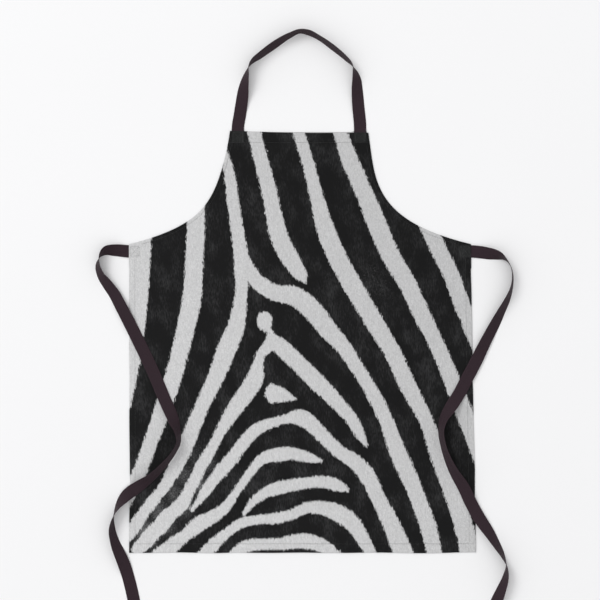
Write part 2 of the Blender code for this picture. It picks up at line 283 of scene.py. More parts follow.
def set_in(line: Points, distance: float | Points, closed: bool = False) -> Points:
    """Move a line to its left, square to its own direction, with its corners mitred.

    Args:
        line: Rows of x and y.
        distance: How far it moves, for the whole line or for each point.
        closed: Whether the line is a ring.

    Returns:
        The moved line.
    """
    if closed:
        before = line - np.roll(line, 1, axis=0)
        after = np.roll(line, -1, axis=0) - line
    else:
        steps = np.diff(line, axis=0)
        before = np.vstack((steps[:1], steps))
        after = np.vstack((steps, steps[-1:]))
    normals = []
    for steps in (before, after):
        unit = steps / np.maximum(np.hypot(*steps.T), TINY)[:, None]
        normals.append(np.column_stack((-unit[:, 1], unit[:, 0])))
    sharpest = 0.4
    turned = np.maximum(1.0 + (normals[0] * normals[1]).sum(axis=1), sharpest)
    return line + (normals[0] + normals[1]) / turned[:, None] * np.reshape(distance, (-1, 1))


def wave(place: float, length: float, seed: float) -> float:
    """Gentle noise from -1 to 1 along a line, with lumps of about the given length."""
    return noise.noise(Vector((place / length, seed, 0.5))) * 1.8


def distance_to(points: Points, line: Points) -> Points:
    """How far each point is from a finely stepped line, or from its edge where it has a width.

    Args:
        points: Rows of x and y.
        line: Rows of x and y, and of half width where the line is a stroke.

    Returns:
        One distance for each point, less than 0 inside a stroke.
    """
    halves = line[:, 2] if line.shape[1] > 2 else np.zeros(len(line))
    spots = line[:, :2]
    nearest = np.full(len(points), np.inf)
    for start, end, half, end_half in zip(spots, spots[1:], halves, halves[1:]):
        along = end - start
        share = np.clip(((points - start) @ along) / max(along @ along, TINY), 0.0, 1.0)
        gap = points - start - share[:, None] * along
        nearest = np.minimum(nearest, np.hypot(*gap.T) - half - (end_half - half) * share)
    return nearest


# Small helpers for materials


def shade(colour: Colour, share: float) -> Colour:
    """A colour with all its channels multiplied by one number."""
    return tuple(channel * share for channel in colour)


class Board:
    """A material's node tree, with a short call for each kind of node that the finishes use."""

    def __init__(self, name: str) -> None:
        """Start a material with a Principled surface.

        Args:
            name: The material's name.
        """
        self.material = bpy.data.materials.new(name)
        self.material.use_nodes = True
        self.tree = self.material.node_tree
        self.surface = self.tree.nodes["Principled BSDF"]

    def feed(self, socket: Socket, value: object) -> None:
        """Link a socket to another, or set its own value.

        Args:
            socket: The input.
            value: An output socket, a number, a colour or a vector.
        """
        if isinstance(value, Socket):
            self.tree.links.new(value, socket)
        elif isinstance(value, tuple) and len(value) == 3 and socket.type == "RGBA":
            socket.default_value = (*value, 1.0)
        else:
            socket.default_value = value

    def add(self, kind: str, output: str | int, inputs: dict[str | int, object],
            **settings: object) -> Socket:
        """Add a node, set its properties and feed its inputs.

        Args:
            kind: The node's Blender type, without its usual beginning.
            output: The output that is wanted.
            inputs: What each input gets.
            **settings: The node's properties by name.

        Returns:
            The output's socket.
        """
        node = self.tree.nodes.new(f"ShaderNode{kind}")
        for key, value in settings.items():
            setattr(node, key, value)
        for key, value in inputs.items():
            self.feed(node.inputs[key], value)
        return node.outputs[output]

    def math(self, operation: str, first: object, second: object = 0.0,
             clamp: bool = False) -> Socket:
        """Work out one sum, which stays from 0 to 1 where it is clamped."""
        return self.add("Math", 0, {0: first, 1: second}, operation=operation, use_clamp=clamp)

    def times(self, first: object, second: object) -> Socket:
        """Multiply two values."""
        return self.math("MULTIPLY", first, second)

    def plus(self, first: object, second: object) -> Socket:
        """Add two values."""
        return self.math("ADD", first, second)

    def minus(self, first: object, second: object) -> Socket:
        """Take the second value from the first."""
        return self.math("SUBTRACT", first, second)

    def ramp(self, value: object, low: float, high: float,
             to_low: float = 0.0, to_high: float = 1.0) -> Socket:
        """Bring a value from the range low to high to the range to_low to to_high, softly."""
        inputs = {"Value": value, "From Min": low, "From Max": high, "To Min": to_low, "To Max": to_high}
        return self.add("MapRange", "Result", inputs, interpolation_type="SMOOTHSTEP")

    def place(self) -> Socket:
        """The point's place in the apron's own frame, in metres."""
        return self.add("TexCoord", "Object", {})

    def axis(self, name: str) -> Socket:
        """The point's X or Y in the apron's own frame, in metres."""
        return self.add("SeparateXYZ", name, {0: self.place()})

    def noise(self, scale: tuple[float, float, float], turn: float = 0.0, detail: float = 2.0,
              rough: float = 0.5, distortion: float = 0.0) -> Socket:
        """Smooth noise that is stretched by an amount for each axis.

        Args:
            scale: How many lumps a metre holds, for each axis.
            turn: How far the axes are turned about Z, in degrees.
            detail: How many finer octaves it has.
            rough: How strong they are.
            distortion: How much the lumps are bent.

        Returns:
            The noise, from 0 to 1.
        """
        sizes = tuple(1.0 / share for share in scale)
        inputs = {"Vector": self.place(), "Rotation": (0.0, 0.0, math.radians(turn)), "Scale": sizes}
        place = self.add("Mapping", "Vector", inputs, vector_type="TEXTURE")
        return self.add("TexNoise", "Fac", {"Vector": place, "Scale": 1.0, "Detail": detail,
                                            "Roughness": rough, "Distortion": distortion})

    def weave(self, pitch: float, phase: object = 0.0) -> Socket:
        """Plain weave with a yarn at each pitch, in metres, pushed along by a phase."""
        warp, weft = (self.math("SINE", self.plus(self.times(self.axis(name), math.tau / pitch), phase))
                      for name in ("X", "Y"))
        return self.times(warp, weft)

    def mix(self, share: object, first: object, second: object) -> Socket:
        """Mix two colours, with a share of the second one."""
        inputs = {"Factor": share, "A": first, "B": second}
        return self.add("Mix", "Result", inputs, data_type="RGBA")

    def value_of(self, attribute: str) -> Socket:
        """A number that the mesh keeps for each point."""
        return self.add("Attribute", "Fac", {}, attribute_name=attribute)

    def bump(self, height: object, distance: float, strength: float,
             under: Socket | None = None) -> Socket:
        """Raise the surface's shading by a height.

        Args:
            height: The height's socket.
            distance: What a height of 1 stands for, in metres.
            strength: How much of it shows.
            under: Another bump's normal, which this one adds to.

        Returns:
            The normal's socket.
        """
        inputs = {"Height": height, "Distance": distance, "Strength": strength}
        if under is not None:
            inputs["Normal"] = under
        return self.add("Bump", "Normal", inputs)

    def finish(self, colour: object, rough: object, normal: Socket | None = None,
               **constants: object) -> Material:
        """Set the surface.

        Args:
            colour: The base colour.
            rough: The roughness.
            normal: The normal's socket.
            **constants: Values set directly on other sockets, with _ for a space.

        Returns:
            The finished material.
        """
        inputs = {"Base Color": colour, "Roughness": rough, **constants}
        if normal is not None:
            inputs["Normal"] = normal
        for key, value in inputs.items():
            self.feed(self.surface.inputs[key.replace("_", " ")], value)
        return self.material


# Finishes


@dataclass(frozen=True)
class ZebraPrint:
    """Smooth woven cloth with a zebra hide printed on it, hairs and all.

    Attributes:
        black: Colour of the printed black.
        white: Colour of the off-white.
        grey: Colour of black hairs that catch the light.
        seam_painted_shade: Colour of the painted shade in the groove along a seam.
        tab_grey: Colour that shows over a sewn end of tape.
        streaks: Greys of the darker locks, curls and patches in the white.
        spike: How far locks of hair carry one colour over into the other, in millimetres.
        wisp: How far single hairs do so, in millimetres.
        tuft: How far larger tufts do so, in millimetres.
        wear: How much narrower the black is where it has worn off, in millimetres.
        hair: Width and length of a lock of printed hair, in metres.
        yarn: Distance between the yarns of the cloth, in metres.
        painted_shade_far_corner: How much darker the print is at the upper right than at the lower left:
            painted shade where the light falls off.
    """

    black: Colour = (0.0105, 0.0105, 0.0108)
    white: Colour = (0.755, 0.755, 0.757)
    grey: Colour = (0.062, 0.062, 0.064)
    seam_painted_shade: Colour = (0.055, 0.055, 0.056)
    tab_grey: Colour = (0.16, 0.17, 0.165)
    streaks: tuple[Colour, ...] = ((0.34, 0.34, 0.345), (0.36, 0.36, 0.365), (0.40, 0.40, 0.405))
    spike: float = 12.0
    wisp: float = 9.0
    tuft: float = 5.0
    wear: float = 4.5
    hair: tuple[float, float] = (0.0019, 0.0085)
    yarn: float = 0.0007
    painted_shade_far_corner: float = 0.195

    def make(self) -> Material:
        """Build the material, which reads the mesh's stripe, fade, seam and tab values.

        Returns:
            The material.
        """
        board = Board("zebra_print")
        locks = board.noise((1 / self.hair[0], 1 / self.hair[1], 100.0), 4.0, 3.0, 0.6, 0.4)
        fine = board.noise((1900.0, 330.0, 300.0), -5.0)
        patches = board.noise((26.0, 18.0, 10.0), 12.0)
        printed = board.mix(self._inked(board, locks), self._white(board, locks, fine, patches),
                            self._black(board, locks, patches))
        # Painted shade: the whole print darkens towards the upper right, where the light falls off.
        slope = board.plus(board.axis("X"), board.times(board.axis("Y"), 0.60))
        far = board.ramp(slope, -0.70, 0.60, 0.0, self.painted_shade_far_corner)
        colour = board.mix(far, printed, (0.0, 0.0, 0.0))
        seam = board.math("ABSOLUTE", board.value_of("seam"))
        # Painted shade in the groove along each seam, strongest right at the stitching.
        colour = board.mix(board.ramp(seam, 0.0, 1.1, 0.03, 0.0), colour, self.seam_painted_shade)
        tab = board.ramp(board.value_of("tab"), -0.8, 0.8)
        colour = board.mix(board.times(tab, 0.06), colour, self.tab_grey)
        return board.finish(colour, board.ramp(fine, 0.2, 0.8, 0.78, 0.92),
                            self._relief(board, locks, seam, tab), Sheen_Weight=0.02,
                            Sheen_Roughness=0.5, Specular_IOR_Level=0.08)

    def _inked(self, board: Board, locks: Socket) -> Socket:
        """Where the print is black, with hair-like edges and bare specks where it fades.

        Args:
            board: The material's board.
            locks: The noise of the hair's locks.

        Returns:
            1 in the black and 0 in the white.
        """
        tufts = board.noise((170.0, 75.0, 70.0), 8.0)
        hairs = board.noise((1100.0, 190.0, 100.0), 3.0)
        carried = board.plus(board.times(board.minus(locks, 0.5), self.spike),
                             board.times(tufts, self.tuft))
        carried = board.plus(carried, board.times(board.minus(hairs, 0.5), self.wisp))
        fade = board.value_of("fade")
        depth = board.minus(board.plus(board.value_of("stripe"), carried),
                            board.times(fade, self.wear))
        speck = board.noise((800.0, 420.0, 200.0), 35.0, 3.0, 0.8)
        bare = board.ramp(board.plus(board.times(fade, 0.26), speck), 0.60, 0.95, 0.0, 0.36)
        bare = board.times(bare, board.ramp(fade, 0.02, 0.25))
        return board.times(board.ramp(depth, 0.5, 2.9), board.minus(1.0, bare))

    def _black(self, board: Board, locks: Socket, patches: Socket) -> Socket:
        """The black of the print, with grey hairs here and there.

        Args:
            board: The material's board.
            locks: The noise of the hair's locks.
            patches: The noise of larger patches.

        Returns:
            The colour's socket.
        """
        fuzz = board.ramp(board.times(locks, patches), 0.20, 0.46, 0.0, 0.50)
        worn = board.ramp(board.value_of("fade"), 0.15, 0.85, 0.0, 0.45)
        return board.mix(board.math("MAXIMUM", fuzz, worn), self.black, self.grey)

    def _white(self, board: Board, locks: Socket, fine: Socket, patches: Socket) -> Socket:
        """The off-white of the print, streaked along the hair.

        Args:
            board: The material's board.
            locks: The noise of the hair's locks.
            fine: The noise of single hairs.
            patches: The noise of larger patches.

        Returns:
            The colour's socket.
        """
        white = board.mix(board.ramp(fine, 0.32, 0.68), shade(self.white, 0.78), shade(self.white, 1.06))
        curls = board.noise((420.0, 170.0, 150.0), 10.0)
        darker = ((locks, 0.30, 0.60, 0.24), (curls, 0.30, 0.70, 0.22), (patches, 0.35, 0.65, 0.05))
        for (grain, low, high, share), grey in zip(darker, self.streaks):
            white = board.mix(board.ramp(grain, low, high, share, 0.0), white, grey)
        return white

    def _relief(self, board: Board, locks: Socket, seam: Socket, tab: Socket) -> Socket:
        """The relief of the yarns, of the seams that pull the cloth in and of the tape under it.

        Args:
            board: The material's board.
            locks: The noise of the hair's locks.
            seam: Distance from the nearest seam, in millimetres.
            tab: How far the cloth lies over a sewn end of tape, from 0 to 1.

        Returns:
            The normal's socket.
        """
        wobble = board.times(board.noise((150.0, 150.0, 150.0)), 3.0)
        normal = board.bump(board.weave(self.yarn, wobble), 0.00008, 0.7)
        normal = board.bump(locks, 0.0003, 0.25, normal)
        pucker = board.noise((170.0, 170.0, 170.0), detail=1.0)
        loose = board.times(board.ramp(seam, 1.0, 9.0, 0.5, 0.0), pucker)
        raised = board.plus(board.times(tab, 0.8), board.ramp(seam, 0.0, 2.4))
        return board.bump(board.plus(raised, loose), 0.0005, 0.8, normal)


@dataclass(frozen=True)
class ClothBack:
    """The unprinted back of the cloth, which shows on the hems and underneath.

    Attributes:
        yarn: Colour of the yarn.
        pitch: Distance between two yarns, in metres.
    """

    yarn: Colour = (0.56, 0.56, 0.555)
    pitch: float = 0.0007

    def make(self) -> Material:
        """Build the material.

        Returns:
            The material.
        """
        board = Board("cloth_back")
        weave = board.weave(self.pitch)
        slub = board.noise((90.0, 600.0, 90.0), detail=3.0, rough=0.6)
        mottle = board.plus(slub, board.times(weave, 0.12))
        colour = board.mix(board.ramp(mottle, 0.3, 0.7), shade(self.yarn, 0.80), self.yarn)
        normal = board.bump(slub, 0.0003, 0.3, board.bump(weave, 0.00008, 0.8))
        return board.finish(colour, board.ramp(slub, 0.2, 0.8, 0.8, 0.95), normal,
                            Sheen_Weight=0.08, Specular_IOR_Level=0.2)


@dataclass(frozen=True)
class TwillWeave:
    """Dark plum-brown cotton tape with a fine chevron twill and bound edges.

    Attributes:
        yarn: Colour of the yarn.
        rib: Distance between two ribs of the twill, in metres.
        edge: Width of the bound edge, in metres.
    """

    yarn: Colour = (0.0285, 0.0168, 0.0222)
    rib: float = 0.0013
    edge: float = 0.0012

    def make(self) -> Material:
        """Build the material, which reads the mesh's across and along values in metres.

        Returns:
            The material.
        """
        board = Board("twill_weave")
        across = board.value_of("across")
        half = TAPE_WIDTH / 2
        slant = board.plus(board.value_of("along"), board.math("PINGPONG", across, half / 2))
        ribs = board.math("SINE", board.times(slant, math.tau / self.rib))
        picks = board.math("SINE", board.times(across, math.tau / (0.7 * self.rib)))
        weave = board.plus(board.times(ribs, 0.36), board.times(picks, 0.14))
        weave = board.math("ADD", weave, 0.5, clamp=True)
        slub = board.noise((260.0, 260.0, 260.0), detail=3.0, rough=0.6)
        lint = board.noise((1500.0, 1500.0, 1500.0))
        reach = board.math("ABSOLUTE", across)
        border = board.ramp(reach, half - 1.6 * self.edge, half - 0.8 * self.edge)
        rubbed = shade(self.yarn, 1.9)
        depth = board.ramp(board.times(weave, board.plus(slub, 0.5)), 0.15, 0.85)
        colour = board.mix(depth, shade(self.yarn, 0.66), shade(self.yarn, 1.42))
        colour = board.mix(board.times(border, board.ramp(slub, 0.35, 0.7, 0.05, 0.40)), colour, rubbed)
        colour = board.mix(board.ramp(lint, 0.60, 0.80, 0.0, 0.25), colour, rubbed)
        beside = board.math("ABSOLUTE", board.minus(reach, half - 2 * self.edge))
        groove = board.minus(1.0, board.ramp(beside, 0.0, 0.0005))
        normal = board.bump(board.minus(weave, board.times(groove, 0.8)), 0.00028, 0.8)
        return board.finish(colour, board.ramp(slub, 0.3, 0.7, 0.62, 0.82),
                            board.bump(slub, 0.0006, 0.25, normal), Sheen_Weight=0.05,
                            Sheen_Roughness=0.4, Specular_IOR_Level=0.14)


@dataclass(frozen=True)
class GrainFinish:
    """A plain finish whose only figure is a fine grain.

    Attributes:
        name: The material's name.
        colour: Its colour.
        dull: How dark the low parts of the grain are, as a share of the colour.
        grain: How many lumps of grain a metre holds, for each axis.
        turn: How far the grain is turned about Z, in degrees.
        spread: The heights of the grain that take the dull and the full colour.
        rough: The roughness of its low and of its high parts.
        relief: The depth of the grain, in metres, and how much of it shows.
        sheen: How much fuzz catches the light.
    """

    name: str
    colour: Colour
    dull: float
    grain: tuple[float, float, float]
    turn: float
    spread: tuple[float, float]
    rough: tuple[float, float]
    relief: tuple[float, float]
    sheen: float

    def make(self) -> Material:
        """Build the material.

        Returns:
            The material.
        """
        board = Board(self.name)
        grain = board.noise(self.grain, self.turn)
        colour = board.mix(board.ramp(grain, *self.spread), shade(self.colour, self.dull), self.colour)
        return board.finish(colour, board.ramp(grain, 0.3, 0.7, *self.rough),
                            board.bump(grain, *self.relief), Sheen_Weight=self.sheen)


SEWING_THREAD = GrainFinish("sewing_thread", colour=(0.034, 0.033, 0.034), dull=0.6,
                            grain=(2400.0, 2400.0, 2400.0), turn=35.0, spread=(0.35, 0.65),
                            rough=(0.42, 0.62), relief=(0.0002, 0.6), sheen=0.1)
LABEL_SATIN = GrainFinish("label_satin", colour=(0.78, 0.78, 0.76), dull=0.9,
                          grain=(400.0, 3000.0, 400.0), turn=0.0, spread=(0.3, 0.7),
                          rough=(0.38, 0.55), relief=(0.0001, 0.5), sheen=0.0)


@dataclass(frozen=True)
class PaleTable:
    """The plain pale top that the apron lies on.

    Attributes:
        colour: Its colour.
    """

    colour: Colour = (0.90, 0.90, 0.905)

    def make(self) -> Material:
        """Build the material.

        Returns:
            The material.
        """
        board = Board("pale_table")
        cloud = board.noise((3.0, 3.0, 3.0))
        colour = board.mix(cloud, shade(self.colour, 0.99), self.colour)
        return board.finish(colour, 0.9, Specular_IOR_Level=0.1)


@dataclass(frozen=True)
class Finishes:
    """Every material of the apron, made once."""

    cloth: Material
    back: Material
    tape: Material
    thread: Material
    label: Material

    @classmethod
    def make(cls) -> Finishes:
        """Make every finish with its own values."""
        return cls(ZebraPrint().make(), ClothBack().make(), TwillWeave().make(),
                   SEWING_THREAD.make(), LABEL_SATIN.make())


# Tapes


@dataclass(frozen=True)
class TapeRoute:
    """A smooth route that a tape follows, through rows of x, y, lean in degrees and surface.

    Attributes:
        rows: The rows, in metres and degrees.
        cuts: How many places of each span are worked out.
    """

    rows: tuple[Row, ...]
    cuts: int = 12

    def stations(self) -> tuple[Points, Points]:
        """Work out the curve through the rows.

        The slopes at a row come from the spans on both sides of it. The lean and the surface
        never pass the values of their rows.

        Returns:
            Rows of length so far, x, y, lean and surface, and the length at which each of the
            route's rows lies.
        """
        rows = np.array(self.rows, float)
        marks = marks_along(rows)
        slopes = np.gradient(rows, marks, axis=0)
        rates = np.diff(rows, axis=0) / np.diff(marks)[:, None]
        back, ahead = rates[:-1, 2:], rates[1:, 2:]
        steady = back * ahead > 0
        slopes[1:-1, 2:] = np.where(steady, 2 * back * ahead / np.where(steady, back + ahead, 1.0), 0.0)
        last_span = len(rows) - 2
        places = np.arange((last_span + 1) * self.cuts + 1)
        index = np.minimum(places // self.cuts, last_span)
        found = cubic_points(rows, slopes, index, places / self.cuts - index)
        lengths = marks_along(found)
        return np.column_stack((lengths, found)), lengths[::self.cuts]


@dataclass
class Tape:
    """A length of tape that lies, leans and twists along a route.

    Attributes:
        name: The piece's name.
        route: The route of its middle.
        width: Its width, in metres.
        thickness: Its thickness, in metres.
        step: Distance between its cross-sections, in metres.
        columns: How many points its upper face has across.
        cup: How deep its hollow is where it lies flat, in metres.
        square: How square its edges are: a higher power gives a flatter face.
        path: The line of its middle, once it is built.
    """

    name: str
    route: TapeRoute
    width: float = TAPE_WIDTH
    thickness: float = LAYERS.tape
    step: float = 0.0025
    columns: int = 9
    cup: float = 0.0004
    square: int = 10
    path: list[tuple[float, float, float]] = field(default_factory=list)

    def frames(self, start: float, end: float, raised: float) -> list[tuple[Vector, ...]]:
        """Work out the tape's middle, width and thickness vectors along its route.

        Args:
            start: The length at which the tape begins.
            end: The length at which it ends.
            raised: How far it lies above the route's surface.

        Returns:
            A middle, a half width and a half thickness for each cross-section.
        """
        stations, _ = self.route.stations()
        count = max(2, math.ceil((end - start) / self.step))
        lengths = np.linspace(start, end, count + 1)
        probe = self.step / 5
        marks, curves = stations[:, 0], stations.T[1:]
        here, back, ahead = ([np.interp(lengths + reach, marks, curve).tolist() for curve in curves]
                             for reach in (0.0, -probe, probe))
        found = []
        for index, (x, y, lean, surface) in enumerate(zip(*here)):
            heading = Vector((ahead[0][index] - back[0][index],
                              ahead[1][index] - back[1][index], 0.0)).normalized()
            angle = math.radians(lean)
            across = Vector((-heading.y, heading.x, 0.0)) * math.cos(angle)
            across.z = math.sin(angle)
            through = heading.cross(across)
            rise = abs(math.sin(angle)) * self.width / 2 + abs(math.cos(angle)) * self.thickness / 2
            middle = Vector((x, y, surface + rise + raised))
            found.append((middle, across * self.width / 2, through * self.thickness / 2))
        return found

    def section(self) -> list[tuple[float, float, float]]:
        """Work out the cross-section in shares of half width, half thickness and hollow.

        Returns:
            A ring of points, over the top from left to right and back underneath.
        """
        crowding = 0.55
        edge_share = 0.25
        turns = np.linspace(0.0, math.pi, self.columns)
        over = []
        for even in np.cos(turns).tolist():
            share = math.copysign(abs(even) ** crowding, even)
            height = math.sqrt(max(0.0, 1.0 - abs(share) ** self.square))
            over.append((share, height * (1 - edge_share) + edge_share, 1 - share ** 2))
        return over + [(share, -height, hollow) for share, height, hollow in reversed(over)]

    def build(self, start: float, end: float, raised: float = 0.0) -> Piece:
        """Carry the cross-section along the route and close both ends.

        Args:
            start: The length at which the tape begins.
            end: The length at which it ends.
            raised: How far it lies above the route's surface.

        Returns:
            The tape's object.
        """
        frames = self.frames(start, end, raised)
        section = self.section()
        cup_rate = 37.0
        verts, along, across_values = [], [], []
        for index, (middle, across, through) in enumerate(frames):
            flat = abs(through.z) / (self.thickness / 2)
            length = start + (end - start) * index / (len(frames) - 1)
            cup = self.cup * flat * (0.5 + 0.5 * math.sin(length * cup_rate))
            for share, height, hollow in section:
                point = middle + across * share + through * height
                point.z += cup * (1.0 - hollow)
                verts.append(point)
                along.append(length)
                across_values.append(share * self.width / 2)
        piece = link_mesh(self.name, verts, tube_faces(len(frames), len(section)))
        face_outwards(piece)
        store_values(piece, "along", along)
        store_values(piece, "across", across_values)
        self.path = [tuple(middle) for middle, _, _ in frames]
        return piece


@dataclass
class NeckStrap:
    """The neck strap: a loop of tape with both ends sewn into the bib hem.

    Attributes:
        tab_length: Length of each sewn end, in metres.
        loop: Rows of share of the way from the left end to the right one, rise above the bib
            and lean in degrees. It stands on edge at both bends.
        bend_reach: How far above the bib the strap turns over when it folds down, in metres. Not used.
    """

    tab_length: float = 0.024
    loop: tuple[Row, ...] = (
        (0.000, 0.000, 0), (0.000, 0.006, 0), (0.016, 0.032, 0), (0.034, 0.061, -10),
        (0.052, 0.093, -40), (0.070, 0.113, -63), (0.093, 0.131, -90), (0.126, 0.141, -104),
        (0.175, 0.150, -113), (0.288, 0.1705, -119), (0.428, 0.192, -107), (0.507, 0.200, -101),
        (0.582, 0.197, -107), (0.662, 0.187, -104), (0.772, 0.168, -108), (0.879, 0.146, -103),
        (0.934, 0.132, -90), (0.956, 0.120, -66), (0.971, 0.104, -42), (0.975, 0.085, -25),
        (0.984, 0.053, -8), (1.000, 0.006, 0), (1.000, 0.000, 0),
    )
    bend_reach: float = 0.030

    def rows(self) -> tuple[Row, ...]:
        """Work out the whole strap's route.

        Returns:
            A sewn end, the loop and the other sewn end.
        """
        left_low, left_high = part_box("neck_strap_end_left")
        right_low, right_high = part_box("neck_strap_end_right")
        left_x = (left_low.x + left_high.x) / 2
        right_x = (right_low.x + right_high.x) / 2
        bib_y = left_high.y
        rows = [(left_x, bib_y - self.tab_length, 0.0, LAYERS.sewn)]
        for share, rise, lean in self.loop:
            surface = LAYERS.sewn if rise == 0 else 0.0
            rows.append((left_x + (right_x - left_x) * share, bib_y + rise, lean, surface))
        rows.append((right_x, bib_y - self.tab_length, 0.0, LAYERS.sewn))
        return tuple(rows)

    def build(self, finishes: Finishes) -> Piece:
        """Build and dress the strap.

        Args:
            finishes: The apron's materials.

        Returns:
            The strap's object.
        """
        tape = Tape("neck_tape", TapeRoute(self.rows()))
        total = tape.route.stations()[0][-1, 0]
        piece = tape.build(0.0, total)
        dress(piece, finishes.tape)
        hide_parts("neck_strap", "neck_strap_end_left", "neck_strap_end_right")
        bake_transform(piece)
        LOG.info("%s is %.3f m long", piece.name, total)
        return piece


LEFT_TIE_ROWS: tuple[Row, ...] = (
    (0.000, 0.000, 0), (-0.028, 0.002, -20), (-0.044, 0.001, -42), (-0.057, -0.010, -86),
    (-0.062, -0.028, -118), (-0.056, -0.049, -133), (-0.044, -0.066, -150),
    (-0.031, -0.084, -160), (-0.013, -0.117, -170), (0.018, -0.179, -180),
    (0.049, -0.244, -180), (0.074, -0.303, -186), (0.091, -0.341, -212), (0.099, -0.362, -243),
    (0.102, -0.385, -252), (0.090, -0.410, -248), (0.073, -0.431, -240), (0.048, -0.456, -228),
    (0.022, -0.475, -200), (-0.005, -0.495, -158), (-0.023, -0.518, -115),
    (-0.031, -0.539, -90), (-0.033, -0.562, -66), (-0.027, -0.590, -50), (-0.013, -0.624, -22),
    (-0.001, -0.663, 0), (0.010, -0.710, 0), (0.016, -0.749, 0), (0.017, -0.788, 0),
    (0.013, -0.826, 0),
)
RIGHT_TIE_ROWS: tuple[Row, ...] = (
    (0.000, 0.000, 0), (0.032, -0.004, 17), (0.054, -0.009, 48), (0.070, -0.018, 88),
    (0.079, -0.031, 99), (0.083, -0.051, 104), (0.081, -0.073, 110), (0.073, -0.097, 124),
    (0.061, -0.121, 136), (0.048, -0.147, 150), (0.027, -0.187, 163), (0.009, -0.225, 178),
    (-0.010, -0.261, 180), (-0.027, -0.293, 184), (-0.043, -0.317, 206),
    (-0.057, -0.339, 234), (-0.062, -0.364, 248), (-0.058, -0.391, 247),
    (-0.050, -0.416, 240), (-0.037, -0.444, 226), (-0.016, -0.478, 200), (0.000, -0.511, 183),
    (0.018, -0.543, 172), (0.035, -0.568, 150), (0.050, -0.592, 132), (0.064, -0.617, 112),
    (0.071, -0.637, 92), (0.069, -0.659, 70), (0.060, -0.686, 50), (0.049, -0.716, 26),
    (0.041, -0.750, 8), (0.037, -0.786, 0), (0.038, -0.823, 0),
)


@dataclass
class WaistTie:
    """One waist tie, sewn to the side hem, turned over at a fold and laid across the front.

    Attributes:
        side: The side that it is sewn to.
        body: The body of its free length.
        rows: Rows of distance from the side edge along X and Y, and lean in degrees.
        fold_row: The row at its fold, where it heads along -Y. Not used.
        carried: The rows at which the panel carries it.
        tab_length: Length of its sewn end, in metres.
        end_fold: Length of its turned end, in metres.
        stitch_margin: From the tape's edge to the end of the stitches on its end, in metres.
        stitch_sunk: How far the middle of those stitches lies below their top, in metres.
        bend_reach: The length over which it turns at the fold, in metres. Not used.
    """

    side: Side
    body: Body
    rows: tuple[Row, ...]
    fold_row: int
    carried: tuple[int, ...]
    tab_length: float = 0.024
    end_fold: float = 0.010
    stitch_margin: float = 0.002
    stitch_sunk: float = 0.0002
    bend_reach: float = 0.055

    def route(self) -> TapeRoute:
        """Work out the tie's route.

        Returns:
            The route from the inner end of its sewn length to its turned end.
        """
        root_low, root_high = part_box(f"waist_tie_root_{self.side.label}")
        sewn_x = root_low.x if self.side is Side.RIGHT else root_high.x
        low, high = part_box(f"waist_tie_stitching_{self.side.label}")
        middle_y = (low.y + high.y) / 2
        edge_x = sewn_x + self.side.value * self.tab_length
        rows = [(sewn_x, middle_y, 0.0, LAYERS.sewn), (edge_x, middle_y, 0.0, LAYERS.sewn)]
        for index, (x, y, lean) in enumerate(self.rows[1:], start=1):
            surface = LAYERS.over if index in self.carried else 0.0
            rows.append((edge_x + x, middle_y + y, lean, surface))
        return TapeRoute(tuple(rows))

    def build(self, finishes: Finishes) -> tuple[Piece, ...]:
        """Build and dress the tie with its turned end and its stitching.

        Args:
            finishes: The apron's materials.

        Returns:
            The tie, its turned end and the stitches on it.
        """
        label = self.side.label
        tape = Tape(f"waist_tape_{label}", self.route())
        stations, row_lengths = tape.route.stations()
        total = stations[-1, 0]
        piece = tape.build(0.0, total)
        dress(piece, finishes.tape)
        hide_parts(f"waist_tie_root_{label}", f"waist_tie_{label}")
        turned_tape = Tape(f"waist_tape_end_{label}", tape.route)
        turned = turned_tape.build(total - self.end_fold, total,
                                   raised=LAYERS.tape + LAYERS.gap)
        dress(turned, finishes.tape)
        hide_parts(f"waist_tie_end_{label}")
        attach(turned, self.body.value)
        stitches = self._end_stitches(turned_tape, finishes)
        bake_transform(piece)
        LOG.info("%s is %.3f m long", piece.name, total)
        return piece, turned, stitches

    def _end_stitches(self, turned: Tape, finishes: Finishes) -> Piece:
        """The row of stitches across the tie's turned end.

        Args:
            turned: The turned end's tape.
            finishes: The apron's materials.

        Returns:
            The stitches' object.
        """
        label = self.side.label
        low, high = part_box(f"waist_tie_end_stitching_{label}")
        middle = (low + high) / 2
        ahead = Vector(turned.path[-1]) - Vector(turned.path[0])
        reach = turned.width / 2 - self.stitch_margin
        sideways = Vector((-ahead.y, ahead.x, 0.0)).normalized() * reach
        line = [(middle - sideways)[:2], (middle + sideways)[:2]]
        row = StitchRow(f"waist_tape_end_stitches_{label}", [line], high.z - self.stitch_sunk)
        piece = row.build(finishes)
        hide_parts(f"waist_tie_end_stitching_{label}")
        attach(piece, self.body.value)
        return piece


# Stitching


